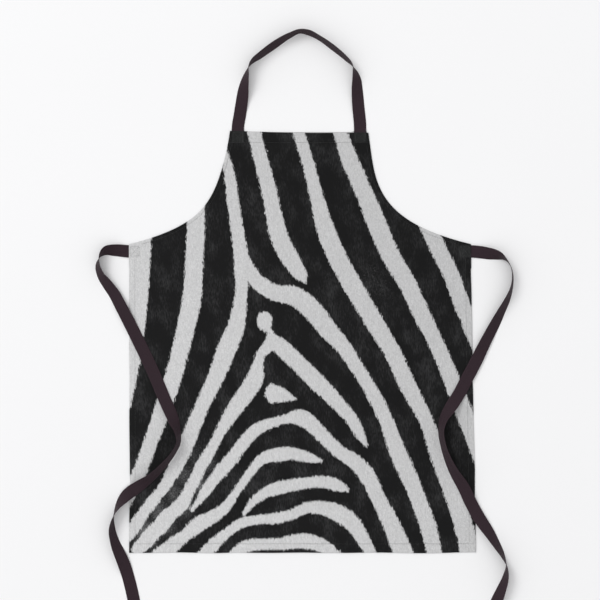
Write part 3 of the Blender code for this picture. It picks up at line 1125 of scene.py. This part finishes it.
@dataclass
class StitchRow:
    """Rows of real stitches along lines on the cloth.

    Attributes:
        name: The piece's name.
        lines: The lines of (x, y) points.
        height: The height of the thread's middle, in metres.
        pitch: Distance from one stitch to the next, in metres.
        length: Length of a stitch, in metres.
        thickness: The thread's thickness, in metres.
        around: How many points the thread has around it.
        profile: Cross-sections of a stitch as shares of its length, plumpness and lift. Both
            its ends dive into the cloth.
    """

    name: str
    lines: list[Sequence[Sequence[float]]]
    height: float
    pitch: float = 0.0034
    length: float = 0.0027
    thickness: float = 0.00034
    around: int = 6
    profile: tuple[Row, ...] = ((-0.5, 0.35, -1.0), (-0.38, 0.85, -0.1), (0.0, 1.0, 0.35),
                                (0.38, 0.85, -0.1), (0.5, 0.35, -1.0))

    def build(self, finishes: Finishes) -> Piece:
        """Build and dress the stitches.

        Args:
            finishes: The apron's materials.

        Returns:
            The stitches' object.
        """
        verts, faces = [], []
        for line in self.lines:
            for middle, heading in self._places(np.array(line)):
                faces += tube_faces(len(self.profile), self.around, len(verts))
                verts += self._stitch(middle, heading)
        piece = link_mesh(self.name, verts, faces)
        dress(piece, finishes.thread)
        return piece

    def _places(self, line: Points) -> Iterable[tuple[Points, Points]]:
        """The middle and the heading of each stitch along a line.

        Args:
            line: The line's points, one row each.

        Returns:
            A middle and a unit heading for each stitch.
        """
        marks = marks_along(line)
        count = max(1, int(marks[-1] / self.pitch))
        lengths = (np.arange(count) + 0.5) * marks[-1] / count
        first, second = (np.column_stack([np.interp(lengths + reach, marks, axis) for axis in line.T])
                         for reach in (-self.length / 2, self.length / 2))
        ahead = second - first
        return zip((first + second) / 2, ahead / np.maximum(np.hypot(*ahead.T), TINY)[:, None])

    def _stitch(self, middle: Points, heading: Points) -> list[Row]:
        """The points of one stitch, one ring after another.

        Args:
            middle: The stitch's middle, (x, y).
            heading: Its unit heading.

        Returns:
            The points.
        """
        sideways = np.array((-heading[1], heading[0]))
        radius = self.thickness / 2
        points = []
        for share, plump, lift in self.profile:
            centre = middle + heading * share * self.length
            for turn in np.arange(self.around) * math.tau / self.around:
                x, y = centre + sideways * radius * plump * math.cos(turn)
                points.append((x, y, self.height + radius * (lift + plump * math.sin(turn))))
        return points


# The cloth


@dataclass
class PanelEdges:
    """The panel's edges as the CAD node has them, from the bib's corner down to the hem.

    Attributes:
        armholes: Each side's armhole curve, from the bib's corner to the waist.
        sides: Each side's straight edge, from the waist to the bottom hem.
        bib_hem: Depth of the bib hem, in metres.
        bottom_hem: Depth of the bottom hem, in metres.
        armhole_hem: Depth of the armhole hems, in metres.
        side_hem: Depth of the side hems, in metres.
        seam_inset: From a hem's inner edge to its stitching, in metres.
        seam_clear: Between the ends of seams that don't meet, in metres.
    """

    armholes: dict[Side, Points]
    sides: dict[Side, Points]
    bib_hem: float
    bottom_hem: float
    armhole_hem: float = 0.009
    side_hem: float = 0.014
    seam_inset: float = 0.002
    seam_clear: float = 0.002

    @classmethod
    def read(cls, panel: Piece) -> PanelEdges:
        """Read the edges from the panel's CAD node.

        Args:
            panel: The node's object.

        Returns:
            The edges.
        """
        corners = sorted({(round(v.co.x, 6), round(v.co.y, 6)) for v in panel.data.vertices},
                         key=lambda point: -point[1])
        armholes, sides = {}, {}
        for side in Side:
            line = [point for point in corners if point[0] * side.value > 0]
            armholes[side] = np.array(line[:-1])
            sides[side] = np.array(line[-2:])
        bib_low, bib_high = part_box("bib_hem")
        bottom_low, bottom_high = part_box("bottom_hem")
        return cls(armholes, sides, bib_high.y - bib_low.y, bottom_high.y - bottom_low.y)

    @property
    def bib_y(self) -> float:
        """The height of the bib's top edge."""
        return self.armholes[Side.LEFT][0, 1]

    @property
    def waist_y(self) -> float:
        """The height of the waist corners."""
        return self.sides[Side.LEFT][0, 1]

    @property
    def hem_y(self) -> float:
        """The height of the bottom edge."""
        return self.sides[Side.LEFT][1, 1]

    def side_x(self, side: Side, y: float) -> float:
        """The x of the skirt's side edge at a height."""
        (top_x, top_y), (low_x, low_y) = self.sides[side]
        return top_x + (low_x - top_x) * (top_y - y) / (top_y - low_y)

    def tabs(self) -> list[Row]:
        """Find where sewn ends of tape lie under the cloth.

        Returns:
            Low x, low y, high x and high y of each.
        """
        found = []
        for side in Side:
            low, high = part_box(f"neck_strap_end_{side.label}")
            found.append((low.x, low.y, high.x, high.y))
        for side in Side:
            low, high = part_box(f"waist_tie_stitching_{side.label}")
            edge_x = self.side_x(side, (low.y + high.y) / 2)
            reach = 2 * abs(edge_x - (low.x + high.x) / 2)
            inner = edge_x - side.value * reach
            margin = (TAPE_WIDTH - (high.y - low.y)) / 2
            found.append((min(inner, edge_x), low.y - margin, max(inner, edge_x), high.y + margin))
        return found

    def tab_depth(self, points: Points) -> Points:
        """How far inside a sewn end of tape each point lies.

        Args:
            points: Rows of x and y.

        Returns:
            One distance for each point, less than 0 outside.
        """
        return np.max([np.minimum(points - row[:2], row[2:] - points).min(axis=1)
                       for row in np.array(self.tabs())], axis=0)

    def seams(self) -> dict[str, Points]:
        """Find the lines of stitching.

        Returns:
            Rows of x and y by the name of the CAD node.
        """
        lines = {}
        for name in ("bib_hem_stitching", "bottom_hem_stitching"):
            low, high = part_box(name)
            middle = (low.y + high.y) / 2
            lines[name] = np.array([(low.x, middle), (high.x, middle)])
        top = self.bib_y - self.bib_hem - self.seam_clear
        for side in Side:
            name = f"armhole_hem_stitching_{side.label}"
            reach = max(abs(corner.x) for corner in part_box(name))
            inset = -side.value * (self.armhole_hem - self.seam_inset)
            curve = set_in(smooth_line(self.armholes[side], EDGE_STEP), inset)
            lines[name] = curve[(curve[:, 1] < top) & (np.abs(curve[:, 0]) < reach)]
            name = f"side_hem_stitching_{side.label}"
            low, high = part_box(name)
            shift = -side.value * (self.side_hem - self.seam_inset)
            lines[name] = np.array([(self.side_x(side, y) + shift, y) for y in (high.y, low.y)])
        return lines


# White strokes of the print, as rows of x, y and half width in millimetres. The rest is black.
LONG_STROKES: tuple[tuple[Row, ...], ...] = (
    ((-100, 330, 14), (-86, 272, 15), (-71, 216, 16), (-59, 160, 17), (-46, 106, 19), (-22, 60, 18),
     (-5, 34, 14), (2, 24, 8), (5, 15, 2)),
    ((-11, 330, 13), (12, 256, 13), (30, 186, 15), (49, 118, 19), (78, 53, 19), (113, -10, 18.5),
     (150, -71, 18.5), (186, -132, 17.5), (216, -198, 17.5), (249, -260, 15), (273, -327, 17),
     (298, -394, 18), (323, -461, 20), (340, -540, 19)),
    ((73, 330, 14), (98, 260, 18), (125, 198, 18), (151, 136, 20), (178, 73, 19), (212, 15, 18),
     (241, -46, 18), (271, -107, 16), (298, -170, 17), (322, -233, 18), (347, -296, 18),
     (373, -372, 16)),
    ((246, 150, 18), (277, 82, 17), (301, 33, 17), (320, -18, 17), (340, -68, 17), (364, -130, 15)),
    ((-162, 300, 5), (-150, 245, 11), (-139, 167, 13), (-130, 108, 14), (-123, 49, 16),
     (-125, -11, 13), (-134, -70, 18), (-156, -125, 20), (-179, -183, 17), (-204, -235, 15),
     (-227, -290, 16), (-252, -345, 15), (-281, -397, 11), (-318, -444, 11), (-354, -498, 11)),
    ((-122, 74, 10), (-95, 22, 16), (-58, -4, 17), (-15, -12, 20), (20, -40, 21), (49, -77, 19),
     (80, -111, 16), (106, -149, 15), (131, -188, 14), (153, -228, 15), (172, -270, 15),
     (188, -314, 17), (206, -356, 18), (225, -399, 17), (242, -442, 17), (258, -490, 17),
     (269, -540, 16)),
)
BRANCH_STROKES: tuple[tuple[Row, ...], ...] = (
    ((-77, -57, 15), (-77, -66, 16)),
    ((-74, -78, 6), (-66, -84, 7)),
    ((-64, -92, 8), (-70, -114, 12), (-84, -128, 10), (-90, -148, 12), (-96, -178, 18),
     (-117, -211, 18), (-141, -245, 16), (-163, -281, 12), (-183, -318, 11), (-205, -355, 11),
     (-224, -393, 10), (-243, -430, 12), (-273, -460, 14), (-301, -491, 14), (-334, -526, 12)),
    ((-64, -92, 8), (-42, -116, 17), (-10, -146, 17), (17, -173, 18), (44, -200, 17),
     (70, -227, 15), (95, -255, 13), (115, -288, 11), (129, -314, 4)),
    ((-61, -198, 10), (-61, -219, 11)),
    ((-58, -209, 19), (-40, -213, 14), (-16, -219, 4)),
    ((-224, -446, 3), (-199, -412, 9), (-175, -379, 12), (-148, -347, 14), (-123, -314, 13),
     (-96, -284, 13), (-60, -268, 11), (-30, -260, 10), (-6, -257, 17), (18, -272, 16),
     (45, -299, 14), (75, -327, 14), (109, -350, 16), (135, -382, 17), (152, -419, 15),
     (171, -455, 17), (188, -493, 19), (207, -540, 21)),
)
LOW_STROKES: tuple[tuple[Row, ...], ...] = (
    ((-298, -552, 22), (-262, -516, 15), (-236, -496, 13), (-211, -475, 16), (-184, -460, 14),
     (-158, -442, 11), (-139, -416, 9), (-121, -390, 9), (-102, -363, 10), (-80, -341, 12),
     (-49, -333, 15), (-17, -331, 13), (14, -339, 11), (38, -346, 4)),
    ((-119, -452, 5), (-98, -427, 9), (-74, -410, 12), (-46, -400, 14), (-16, -394, 13),
     (13, -390, 12), (43, -388, 13), (72, -396, 12), (91, -404, 5)),
    ((-208, -548, 15), (-176, -511, 13), (-150, -489, 10), (-121, -471, 11), (-89, -465, 10),
     (-54, -462, 12), (-21, -454, 11), (11, -440, 12), (45, -442, 15), (77, -454, 18),
     (103, -474, 17), (122, -503, 14), (144, -545, 12)),
    ((-152, -550, 11), (-115, -519, 13), (-77, -515, 12), (-39, -513, 13), (-1, -508, 16),
     (36, -516, 15), (75, -540, 10)),
    ((-350, 140, 46), (-352, 60, 44), (-352, 13, 41), (-352, -82, 32), (-351, -167, 18),
     (-352, -236, 4)),
    ((-214, 195, 16), (-217, 112, 19), (-220, 49, 19), (-224, -13, 20), (-236, -74, 19),
     (-251, -134, 18), (-268, -194, 18), (-288, -253, 17), (-309, -311, 15), (-331, -370, 15),
     (-360, -432, 14)),
)


@dataclass(frozen=True)
class HidePattern:
    """The printed zebra hide: smooth white strokes on black, and the place where they fade.

    Attributes:
        strokes: Each white stroke as rows of x, y and half width, in millimetres.
        step: How finely a stroke is followed, in millimetres.
        fades: Places where the black wears off to specks, as x, y, reach across, reach along
            and strength, in millimetres.
    """

    strokes: tuple[tuple[Row, ...], ...] = LONG_STROKES + BRANCH_STROKES + LOW_STROKES
    step: float = 6.0
    fades: tuple[Row, ...] = (
        (-220, -335, 22, 34, 0.5), (-240, -375, 22, 32, 0.65), (-262, -412, 22, 30, 0.7),
        (-290, -450, 24, 30, 0.8), (-322, -486, 28, 28, 0.9), (-188, -352, 18, 26, 0.6),
        (-208, -392, 20, 28, 0.75), (-240, -436, 22, 26, 0.8), (-280, -478, 28, 24, 0.8),
        (-318, -512, 30, 18, 0.8), (130, 10, 70, 60, 0.30))

    def depths(self, places: Points) -> Points:
        """How far each place is outside the white strokes, and less than 0 inside them.

        Args:
            places: Rows of x and y, in metres.

        Returns:
            Depths in millimetres.
        """
        points = places / MILLIMETRE
        return np.min([distance_to(points, smooth_line(stroke, self.step))
                       for stroke in self.strokes], axis=0)

    def fading(self, places: Points) -> Points:
        """How far the black has worn off at each place, from 0 to 1.

        Args:
            places: Rows of x and y, in metres.

        Returns:
            One share for each place.
        """
        x, y = places.T / MILLIMETRE
        return np.max([strength * np.exp(-((x - mid_x) / across) ** 2 - ((y - mid_y) / along) ** 2)
                       for mid_x, mid_y, across, along, strength in self.fades], axis=0)


@dataclass
class PrintedPanel:
    """The printed panel, one cloth whose edges turn under all round and open where tapes leave.

    Attributes:
        edges: The panel's edges.
        pattern: What is printed on it.
        columns: How many columns of faces it has.
        row_step: Distance between its rows, in metres.
        fold: Radius of the folded edges, in metres.
        lip: How far the fold reaches in under the hem, in metres.
        ripple: How far its edges wander, in metres.
        hem_lump: Length of a wave in the bottom edge, in metres.
        side_lump: Length of a wave in the side edges, in metres.
        waist_calm: How far below the waist the side edges begin to wander, in metres.
        top_dip: How far the bib's top edge sags between its corners, in metres.
        sway_height: How high the cloth lifts off the table in its long waves, in metres.
        closing: The length over which the fold closes beside a tape, in metres.
        shut_at: How far from a tape the fold is shut again, in metres.
        fold_steps: How many points the fold has round each of its faces.
    """

    edges: PanelEdges
    pattern: HidePattern
    columns: int = 158
    row_step: float = 0.0037
    fold: float = 0.00127
    lip: float = 0.0007
    ripple: float = 0.0011
    hem_lump: float = 0.085
    side_lump: float = 0.10
    waist_calm: float = 0.05
    top_dip: float = 0.0020
    sway_height: float = 0.00016
    closing: float = 0.004
    shut_at: float = 0.0064
    fold_steps: int = 8

    def build(self, finishes: Finishes) -> Piece:
        """Build and dress the panel.

        Args:
            finishes: The apron's materials.

        Returns:
            The panel's object.
        """
        grid = self._grid()
        rows, columns = grid.shape[:2]
        ring = self._ring_order(rows, columns)
        outline = grid.reshape(-1, 2)[ring]
        inner = set_in(outline, self.fold, closed=True)
        flat = self._fill(grid, inner, ring)
        verts = [np.column_stack((flat, self._top_heights(flat)))]
        count = rows * columns
        faces = self._grid_faces(rows, columns, 0, over=True)
        previous = ring
        for level in self._edge_levels(outline):
            verts.append(level)
            current = np.arange(count, count + len(ring))
            faces += self._band(previous, current)
            previous = current
            count += len(ring)
        under = np.column_stack((flat, self._top_heights(flat) - LAYERS.cloth))
        faces += self._band(previous, ring + count)
        faces += self._grid_faces(rows, columns, count, over=False)
        verts.append(under)
        piece = link_mesh("printed_panel", np.vstack(verts), faces)
        face_outwards(piece)
        self._store_pattern(piece)
        dress(piece, finishes.cloth)
        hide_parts("front_panel")
        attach(piece, Body.PANEL.value)
        return piece

    def _grid(self) -> Points:
        """The cloth's points in rows from the bottom hem to the bib, out to its edges.

        Returns:
            An array of rows, columns and x, y.
        """
        lines = {}
        for side in Side:
            armhole = smooth_line(self.edges.armholes[side], self.row_step)[::-1]
            straight = smooth_line(self.edges.sides[side], self.row_step)[::-1]
            lines[side] = np.vstack((straight[:-1], armhole))
        count = min(len(line) for line in lines.values())
        left, right = (lines[side][:count] for side in Side)
        shares = np.linspace(0.0, 1.0, self.columns + 1)
        grid = left[:, None, :] + (right - left)[:, None, :] * shares[None, :, None]
        for column, (x, share) in enumerate(zip(grid[0, :, 0], shares)):
            grid[0, column, 1] += self.ripple * wave(x, self.hem_lump, 2.0)
            grid[-1, column, 1] -= self.top_dip * math.sin(math.pi * share) ** 1.5
        for row, y in enumerate(grid[:, 0, 1]):
            if y < self.edges.waist_y - self.waist_calm:
                for column, seed in ((0, 5.0), (-1, 9.0)):
                    grid[row, column, 0] += self.ripple * wave(y, self.side_lump, seed)
        return grid

    @staticmethod
    def _ring_order(rows: int, columns: int) -> Points:
        """The grid's boundary points in order, with the cloth on their left.

        Args:
            rows: How many rows of points there are.
            columns: How many columns of points there are.

        Returns:
            Point numbers once round the cloth.
        """
        bottom = np.arange(columns)
        right = np.arange(1, rows) * columns + columns - 1
        top = (rows - 1) * columns + np.arange(columns - 2, -1, -1)
        left = np.arange(rows - 2, 0, -1) * columns
        return np.concatenate((bottom, right, top, left))

    @staticmethod
    def _fill(grid: Points, inner: Points, ring: Points) -> Points:
        """Draw the grid in to a smaller boundary, row by row.

        Args:
            grid: The grid out to the edges.
            inner: The new place of each boundary point.
            ring: The boundary's point numbers.

        Returns:
            Rows of x and y for the whole grid.
        """
        flat = grid.reshape(-1, 2).copy()
        flat[ring] = inner
        drawn = flat.reshape(grid.shape)
        left, right = drawn[1:-1, :1].copy(), drawn[1:-1, -1:].copy()
        drawn[1:-1] = left + (right - left) * np.linspace(0.0, 1.0, grid.shape[1])[:, None]
        return drawn.reshape(-1, 2)

    def _top_heights(self, flat: Points) -> Points:
        """The height of the cloth's face at rows of x and y, with long low waves in it."""
        sways = [noise.noise(Vector((x * 9.0, y * 8.0, 3.0))) for x, y in flat]
        return LAYERS.panel_top + self.sway_height * np.array(sways)

    def _openings(self, outline: Points) -> Points:
        """How far the edge is open at each boundary point, from 1 beside a tape down to 0."""
        return np.clip((self.shut_at + self.edges.tab_depth(outline)) / self.closing, 0.0, 1.0)

    def _edge_levels(self, outline: Points) -> list[Points]:
        """The rings of points that turn the edge under and bring it back to the underside.

        Args:
            outline: The boundary's points at the outermost edge.

        Returns:
            Each ring as rows of x, y and z, in order from the face to the underside.
        """
        opened = self._openings(outline)
        half = LAYERS.cloth / 2
        lip, inner = half * 1.3, half * 1.6
        middle = LAYERS.panel_top - self.fold
        inner_fold = self.fold - LAYERS.cloth
        steps = self.fold_steps
        folded, plain = [], []
        for step in range(1, steps + 1):
            turn = math.pi / 2 - math.pi * step / steps
            folded.append((self.fold * (1 - math.cos(turn)), middle + self.fold * math.sin(turn)))
            plain.append((half * (1 - math.cos(turn)), LAYERS.panel + half * (1 + math.sin(turn))))
        floor = middle - self.fold
        folded += [(self.fold + self.lip, floor), (self.fold + self.lip, floor + LAYERS.cloth)]
        plain += [(lip, LAYERS.panel), (inner, LAYERS.panel)]
        for step in range(1, steps):
            turn = -math.pi / 2 + math.pi * step / steps
            folded.append((self.fold - inner_fold * math.cos(turn),
                           middle + inner_fold * math.sin(turn)))
            plain.append((inner + (self.fold - inner) * step / steps, LAYERS.panel))
        levels = []
        for (deep, height), (plain_deep, plain_height) in zip(folded, plain):
            inset = deep + (plain_deep - deep) * opened
            z = height + (plain_height - height) * opened
            levels.append(np.column_stack((set_in(outline, inset, closed=True), z)))
        return levels

    @staticmethod
    def _band(first: Points, second: Points) -> Faces:
        """Faces between two rings of as many points."""
        return list(zip(first, np.roll(first, -1), np.roll(second, -1), second))

    @staticmethod
    def _grid_faces(rows: int, columns: int, start: int, over: bool) -> Faces:
        """The faces of a grid of points.

        Args:
            rows: How many rows of points there are.
            columns: How many columns of points there are.
            start: The first point's number.
            over: Whether they face up.

        Returns:
            The faces.
        """
        numbers = start + np.arange(rows * columns).reshape(rows, columns)
        corners = (numbers[:-1, :-1], numbers[:-1, 1:], numbers[1:, 1:], numbers[1:, :-1])
        return np.stack(corners if over else corners[::-1], axis=-1).reshape(-1, 4).tolist()

    def _store_pattern(self, piece: Piece) -> None:
        """Keep the print, the seams and the tapes' ends as values on the mesh.

        Args:
            piece: The panel's object.
        """
        places = np.array([(vert.co.x, vert.co.y) for vert in piece.data.vertices])
        store_values(piece, "stripe", self.pattern.depths(places))
        store_values(piece, "fade", self.pattern.fading(places))
        seams = [distance_to(places, line) for line in self.edges.seams().values()]
        store_values(piece, "seam", np.min(seams, axis=0) / MILLIMETRE)
        store_values(piece, "tab", np.clip(self.edges.tab_depth(places) / MILLIMETRE, -20.0, 20.0))


@dataclass
class TurnedHems:
    """The turned edges of the cloth, seen from behind and at the panel's edge.

    Attributes:
        edges: The panel's edges.
        start: How far in from the edge a strip begins, behind the panel's fold, in metres.
        open_start: How far in it begins where a tape leaves, in metres.
        open_reach: How far beside a tape it still begins there, in metres.
        gap: Room between two hems that meet, in metres.
        waver: How far a hem's inner edge wanders, in metres.
        round_points: How many points its rounded edges have.
        pressed: How thick it is, as a share of the cloth.
    """

    edges: PanelEdges
    start: float = 0.0022
    open_start: float = 0.0006
    open_reach: float = 0.002
    gap: float = 0.0006
    waver: float = 0.0004
    round_points: int = 5
    pressed: float = 0.97

    def build(self, finishes: Finishes) -> list[Piece]:
        """Build and dress all six hems.

        Args:
            finishes: The apron's materials.

        Returns:
            The hems' objects.
        """
        edges = self.edges
        bib_low = edges.bib_y - edges.bib_hem
        left_top, right_top = (edges.armholes[side][0] for side in Side)
        bib_edge = [(right_top[0] - self.start, edges.bib_y), (left_top[0] + self.start, edges.bib_y)]
        found = [self._strip("bib_hem", smooth_line(bib_edge, HEM_STEP), edges.bib_hem)]
        low_left, low_right = (edges.sides[side][1] for side in Side)
        low_edge = [(low_left[0] + self.start, edges.hem_y), (low_right[0] - self.start, edges.hem_y)]
        found.append(self._strip("bottom_hem", smooth_line(low_edge, HEM_STEP), edges.bottom_hem))
        for side in Side:
            curve = smooth_line(edges.armholes[side], EDGE_STEP)
            curve = curve[curve[:, 1] < bib_low - self.gap]
            curve = curve[::-side.value]
            found.append(self._strip(f"armhole_hem_{side.label}", curve, edges.armhole_hem))
            top = edges.waist_y - edges.armhole_hem - self.gap
            low = edges.hem_y + edges.bottom_hem + self.gap
            straight = [(edges.side_x(side, y), y) for y in (top, low)][::-side.value]
            found.append(self._strip(f"side_hem_{side.label}", smooth_line(straight, HEM_STEP),
                                     edges.side_hem))
        for piece in found:
            dress(piece, finishes.back)
            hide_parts(piece.name.removeprefix("turned_"))
            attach(piece, Body.PANEL.value)
        return found

    def _strip(self, name: str, edge: Points, depth: float) -> Piece:
        """One hem: a strip of cloth from just inside an edge to its own inner edge.

        Args:
            name: The CAD node that it stands for.
            edge: The panel's edge, with the cloth on its left.
            depth: How deep the hem is, in metres.

        Returns:
            The strip's object.
        """
        half = LAYERS.cloth / 2
        beside_tape = self.edges.tab_depth(edge) > -self.open_reach
        start = np.where(beside_tape, self.open_start, self.start)
        wander = np.array([self.waver * wave(x + y, 0.03, 7.0) for x, y in edge])
        end = depth - self.waver + wander
        section = []
        for share, first_turn in ((0.0, math.pi / 2), (1.0, -math.pi / 2)):
            for turn in np.linspace(first_turn, first_turn + math.pi, self.round_points):
                section.append((share, half * math.cos(turn), math.sin(turn)))
        levels = []
        for share, out, height in section:
            inset = start + half + (end - start - 2 * half) * share + out
            z = np.full(len(edge), half + height * half * self.pressed)
            levels.append(np.column_stack((set_in(edge, inset), z)))
        verts = np.stack(levels, axis=1).reshape(-1, 3)
        piece = link_mesh(f"turned_{name}", verts, tube_faces(len(edge), len(section)))
        face_outwards(piece)
        return piece


@dataclass
class Seams:
    """Every row of stitching on the panel, and the boxes that hold the tapes' sewn ends.

    Attributes:
        edges: The panel's edges.
        sunk: How far the thread's middle lies over the cloth's face, in metres.
    """

    edges: PanelEdges
    sunk: float = 0.00016

    def build(self, finishes: Finishes) -> list[Piece]:
        """Build and dress the rows and the boxes.

        Args:
            finishes: The apron's materials.

        Returns:
            The objects of the stitches.
        """
        height = LAYERS.panel_top + self.sunk
        found = []
        for name, line in self.edges.seams().items():
            steps = smooth_line(line, EDGE_STEP)
            row = StitchRow(name.replace("stitching", "stitches"), [steps], height)
            found.append(self._place(row, name, finishes))
        for label in ("neck_strap", "waist_tie"):
            for side in Side:
                name = f"{label}_stitching_{side.label}"
                low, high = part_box(name)
                corners = [(low.x, low.y), (high.x, low.y), (high.x, high.y), (low.x, high.y)]
                lines = [[first, second] for first, second in
                         zip(corners, corners[1:] + corners[:1])]
                lines += [[corners[0], corners[2]], [corners[1], corners[3]]]
                row = StitchRow(f"{label}_stitches_{side.label}", lines, height)
                found.append(self._place(row, name, finishes))
        return found

    @staticmethod
    def _place(row: StitchRow, node: str, finishes: Finishes) -> Piece:
        """Build a row of stitches in place of its CAD node.

        Args:
            row: The stitches.
            node: The CAD node.
            finishes: The apron's materials.

        Returns:
            The stitches' object.
        """
        piece = row.build(finishes)
        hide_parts(node)
        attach(piece, Body.PANEL.value)
        return piece


@dataclass
class CareLabel:
    """The blank care label behind the left side hem: satin folded once, with a heat-cut edge.

    Attributes:
        waves: How far it ripples, in metres.
        cells: How many faces it has along each side.
        pressed: How thick it is, as a share of its box.
    """

    waves: float = 0.00004
    cells: int = 24
    pressed: float = 0.7

    def build(self, finishes: Finishes) -> Piece:
        """Build and dress the label.

        Args:
            finishes: The apron's materials.

        Returns:
            The label's object.
        """
        low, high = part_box("care_label")
        work = bmesh.new()
        rows = []
        for row in range(self.cells + 1):
            y = low.y + (high.y - low.y) * row / self.cells
            line = []
            for column in range(self.cells + 1):
                x = low.x + (high.x - low.x) * column / self.cells
                z = high.z - self.waves * (1 + wave(x + y, 0.012, 4.0))
                line.append(work.verts.new((x, y, z)))
            rows.append(line)
        for row, next_row in zip(rows, rows[1:]):
            for column in range(self.cells):
                after = column + 1
                work.faces.new((row[column], row[after], next_row[after], next_row[column]))
        bmesh.ops.solidify(work, geom=work.faces[:], thickness=(high.z - low.z) * self.pressed)
        bmesh.ops.recalc_face_normals(work, faces=work.faces)
        mesh = bpy.data.meshes.new("blank_label")
        work.to_mesh(mesh)
        work.free()
        piece = bpy.data.objects.new("blank_label", mesh)
        bpy.context.scene.collection.objects.link(piece)
        dress(piece, finishes.label)
        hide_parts("care_label")
        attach(piece, Body.PANEL.value)
        return piece


# The studio


@dataclass
class Studio:
    """The camera, the table top and the light.

    Attributes:
        aim: The point that the camera looks straight down at, (x, y).
        distance: The camera's height, in metres.
        lens: Its focal length, in millimetres.
        sensor: Width of its sensor, in millimetres.
        key_place: Where the large soft light stands, at the upper left.
        key_aim: The point that it looks at.
        key_size: Its side, in metres.
        key_power: Its power, in watts.
        sky: Strength of the light from all around.
        sky_colour: Colour of that light.
        table_reach: Half the table top's side, in metres.
    """

    aim: tuple[float, float] = (-0.0050, -0.0193)
    distance: float = 2.876
    lens: float = 85.0
    sensor: float = 36.0
    key_place: tuple[float, float, float] = (-7.4, 6.6, 9.4)
    key_aim: tuple[float, float, float] = (0.0, -0.1, 0.0)
    key_size: float = 5.6
    key_power: float = 690.0
    sky: float = 0.797
    sky_colour: Colour = (1.0, 1.0, 1.005)
    table_reach: float = 9.0

    def place_camera(self) -> None:
        """Create the camera, straight above the apron."""
        data = bpy.data.cameras.new("camera")
        data.lens = self.lens
        data.sensor_width = self.sensor
        camera = bpy.data.objects.new("camera", data)
        camera.location = (*self.aim, self.distance)
        bpy.context.scene.collection.objects.link(camera)
        bpy.context.scene.camera = camera

    def build(self) -> None:
        """Create the table top and the lights."""
        self._table()
        self._key_light()
        world = bpy.data.worlds.new("studio")
        world.use_nodes = True
        background = world.node_tree.nodes["Background"]
        background.inputs["Color"].default_value = (*self.sky_colour, 1.0)
        background.inputs["Strength"].default_value = self.sky
        bpy.context.scene.world = world
        bpy.context.scene.view_settings.view_transform = "Standard"
        bpy.context.scene.view_settings.look = "None"

    def _table(self) -> None:
        """Lay the table top."""
        corners = [(x * self.table_reach, y * self.table_reach, 0.0)
                   for x, y in ((-1, -1), (1, -1), (1, 1), (-1, 1))]
        table = link_mesh("table_top", corners, [(0, 1, 2, 3)])
        table.data.materials.append(PaleTable().make())

    def _key_light(self) -> None:
        """Add the large soft light."""
        data = bpy.data.lights.new("key", "AREA")
        data.size = self.key_size
        data.energy = self.key_power
        light = bpy.data.objects.new("key", data)
        light.location = self.key_place
        towards = Vector(self.key_aim) - Vector(self.key_place)
        light.rotation_mode = "QUATERNION"
        light.rotation_quaternion = towards.to_track_quat("-Z", "Y")
        bpy.context.scene.collection.objects.link(light)


@dataclass(frozen=True)
class CutSize:
    """The panel's cloth as it was cut, hems and all.

    Attributes:
        width: Its greatest width, in metres.
        length: Its length, in metres.
        area: Its area with the armholes cut away, in square metres.
    """

    width: float = 0.730
    length: float = 0.902
    area: float = 0.592


def main() -> None:
    """Build the apron in order: camera, tapes, cloth, stitching, label and light."""
    logging.basicConfig(level=logging.INFO, format="%(name)s: %(message)s")
    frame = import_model()
    studio = Studio()
    studio.place_camera()
    finishes = Finishes.make()
    strap = NeckStrap().build(finishes)
    left_tie = WaistTie(Side.LEFT, Body.LEFT_TIE, LEFT_TIE_ROWS, fold_row=4,
                        carried=(*range(8, 20), 24)).build(finishes)
    right_tie = WaistTie(Side.RIGHT, Body.RIGHT_TIE, RIGHT_TIE_ROWS, fold_row=5,
                         carried=tuple(range(10, 24))).build(finishes)
    edges = PanelEdges.read(frame["nodes"]["front_panel"])
    panel = PrintedPanel(edges, HidePattern()).build(finishes)
    hems = TurnedHems(edges).build(finishes)
    stitches = Seams(edges).build(finishes)
    label = CareLabel().build(finishes)
    for piece in (strap, *left_tie, *right_tie, panel, *hems, *stitches, label):
        LOG.info("%s has %d points", piece.name, len(piece.data.vertices))
    studio.build()


if __name__ == "__main__":
    main()
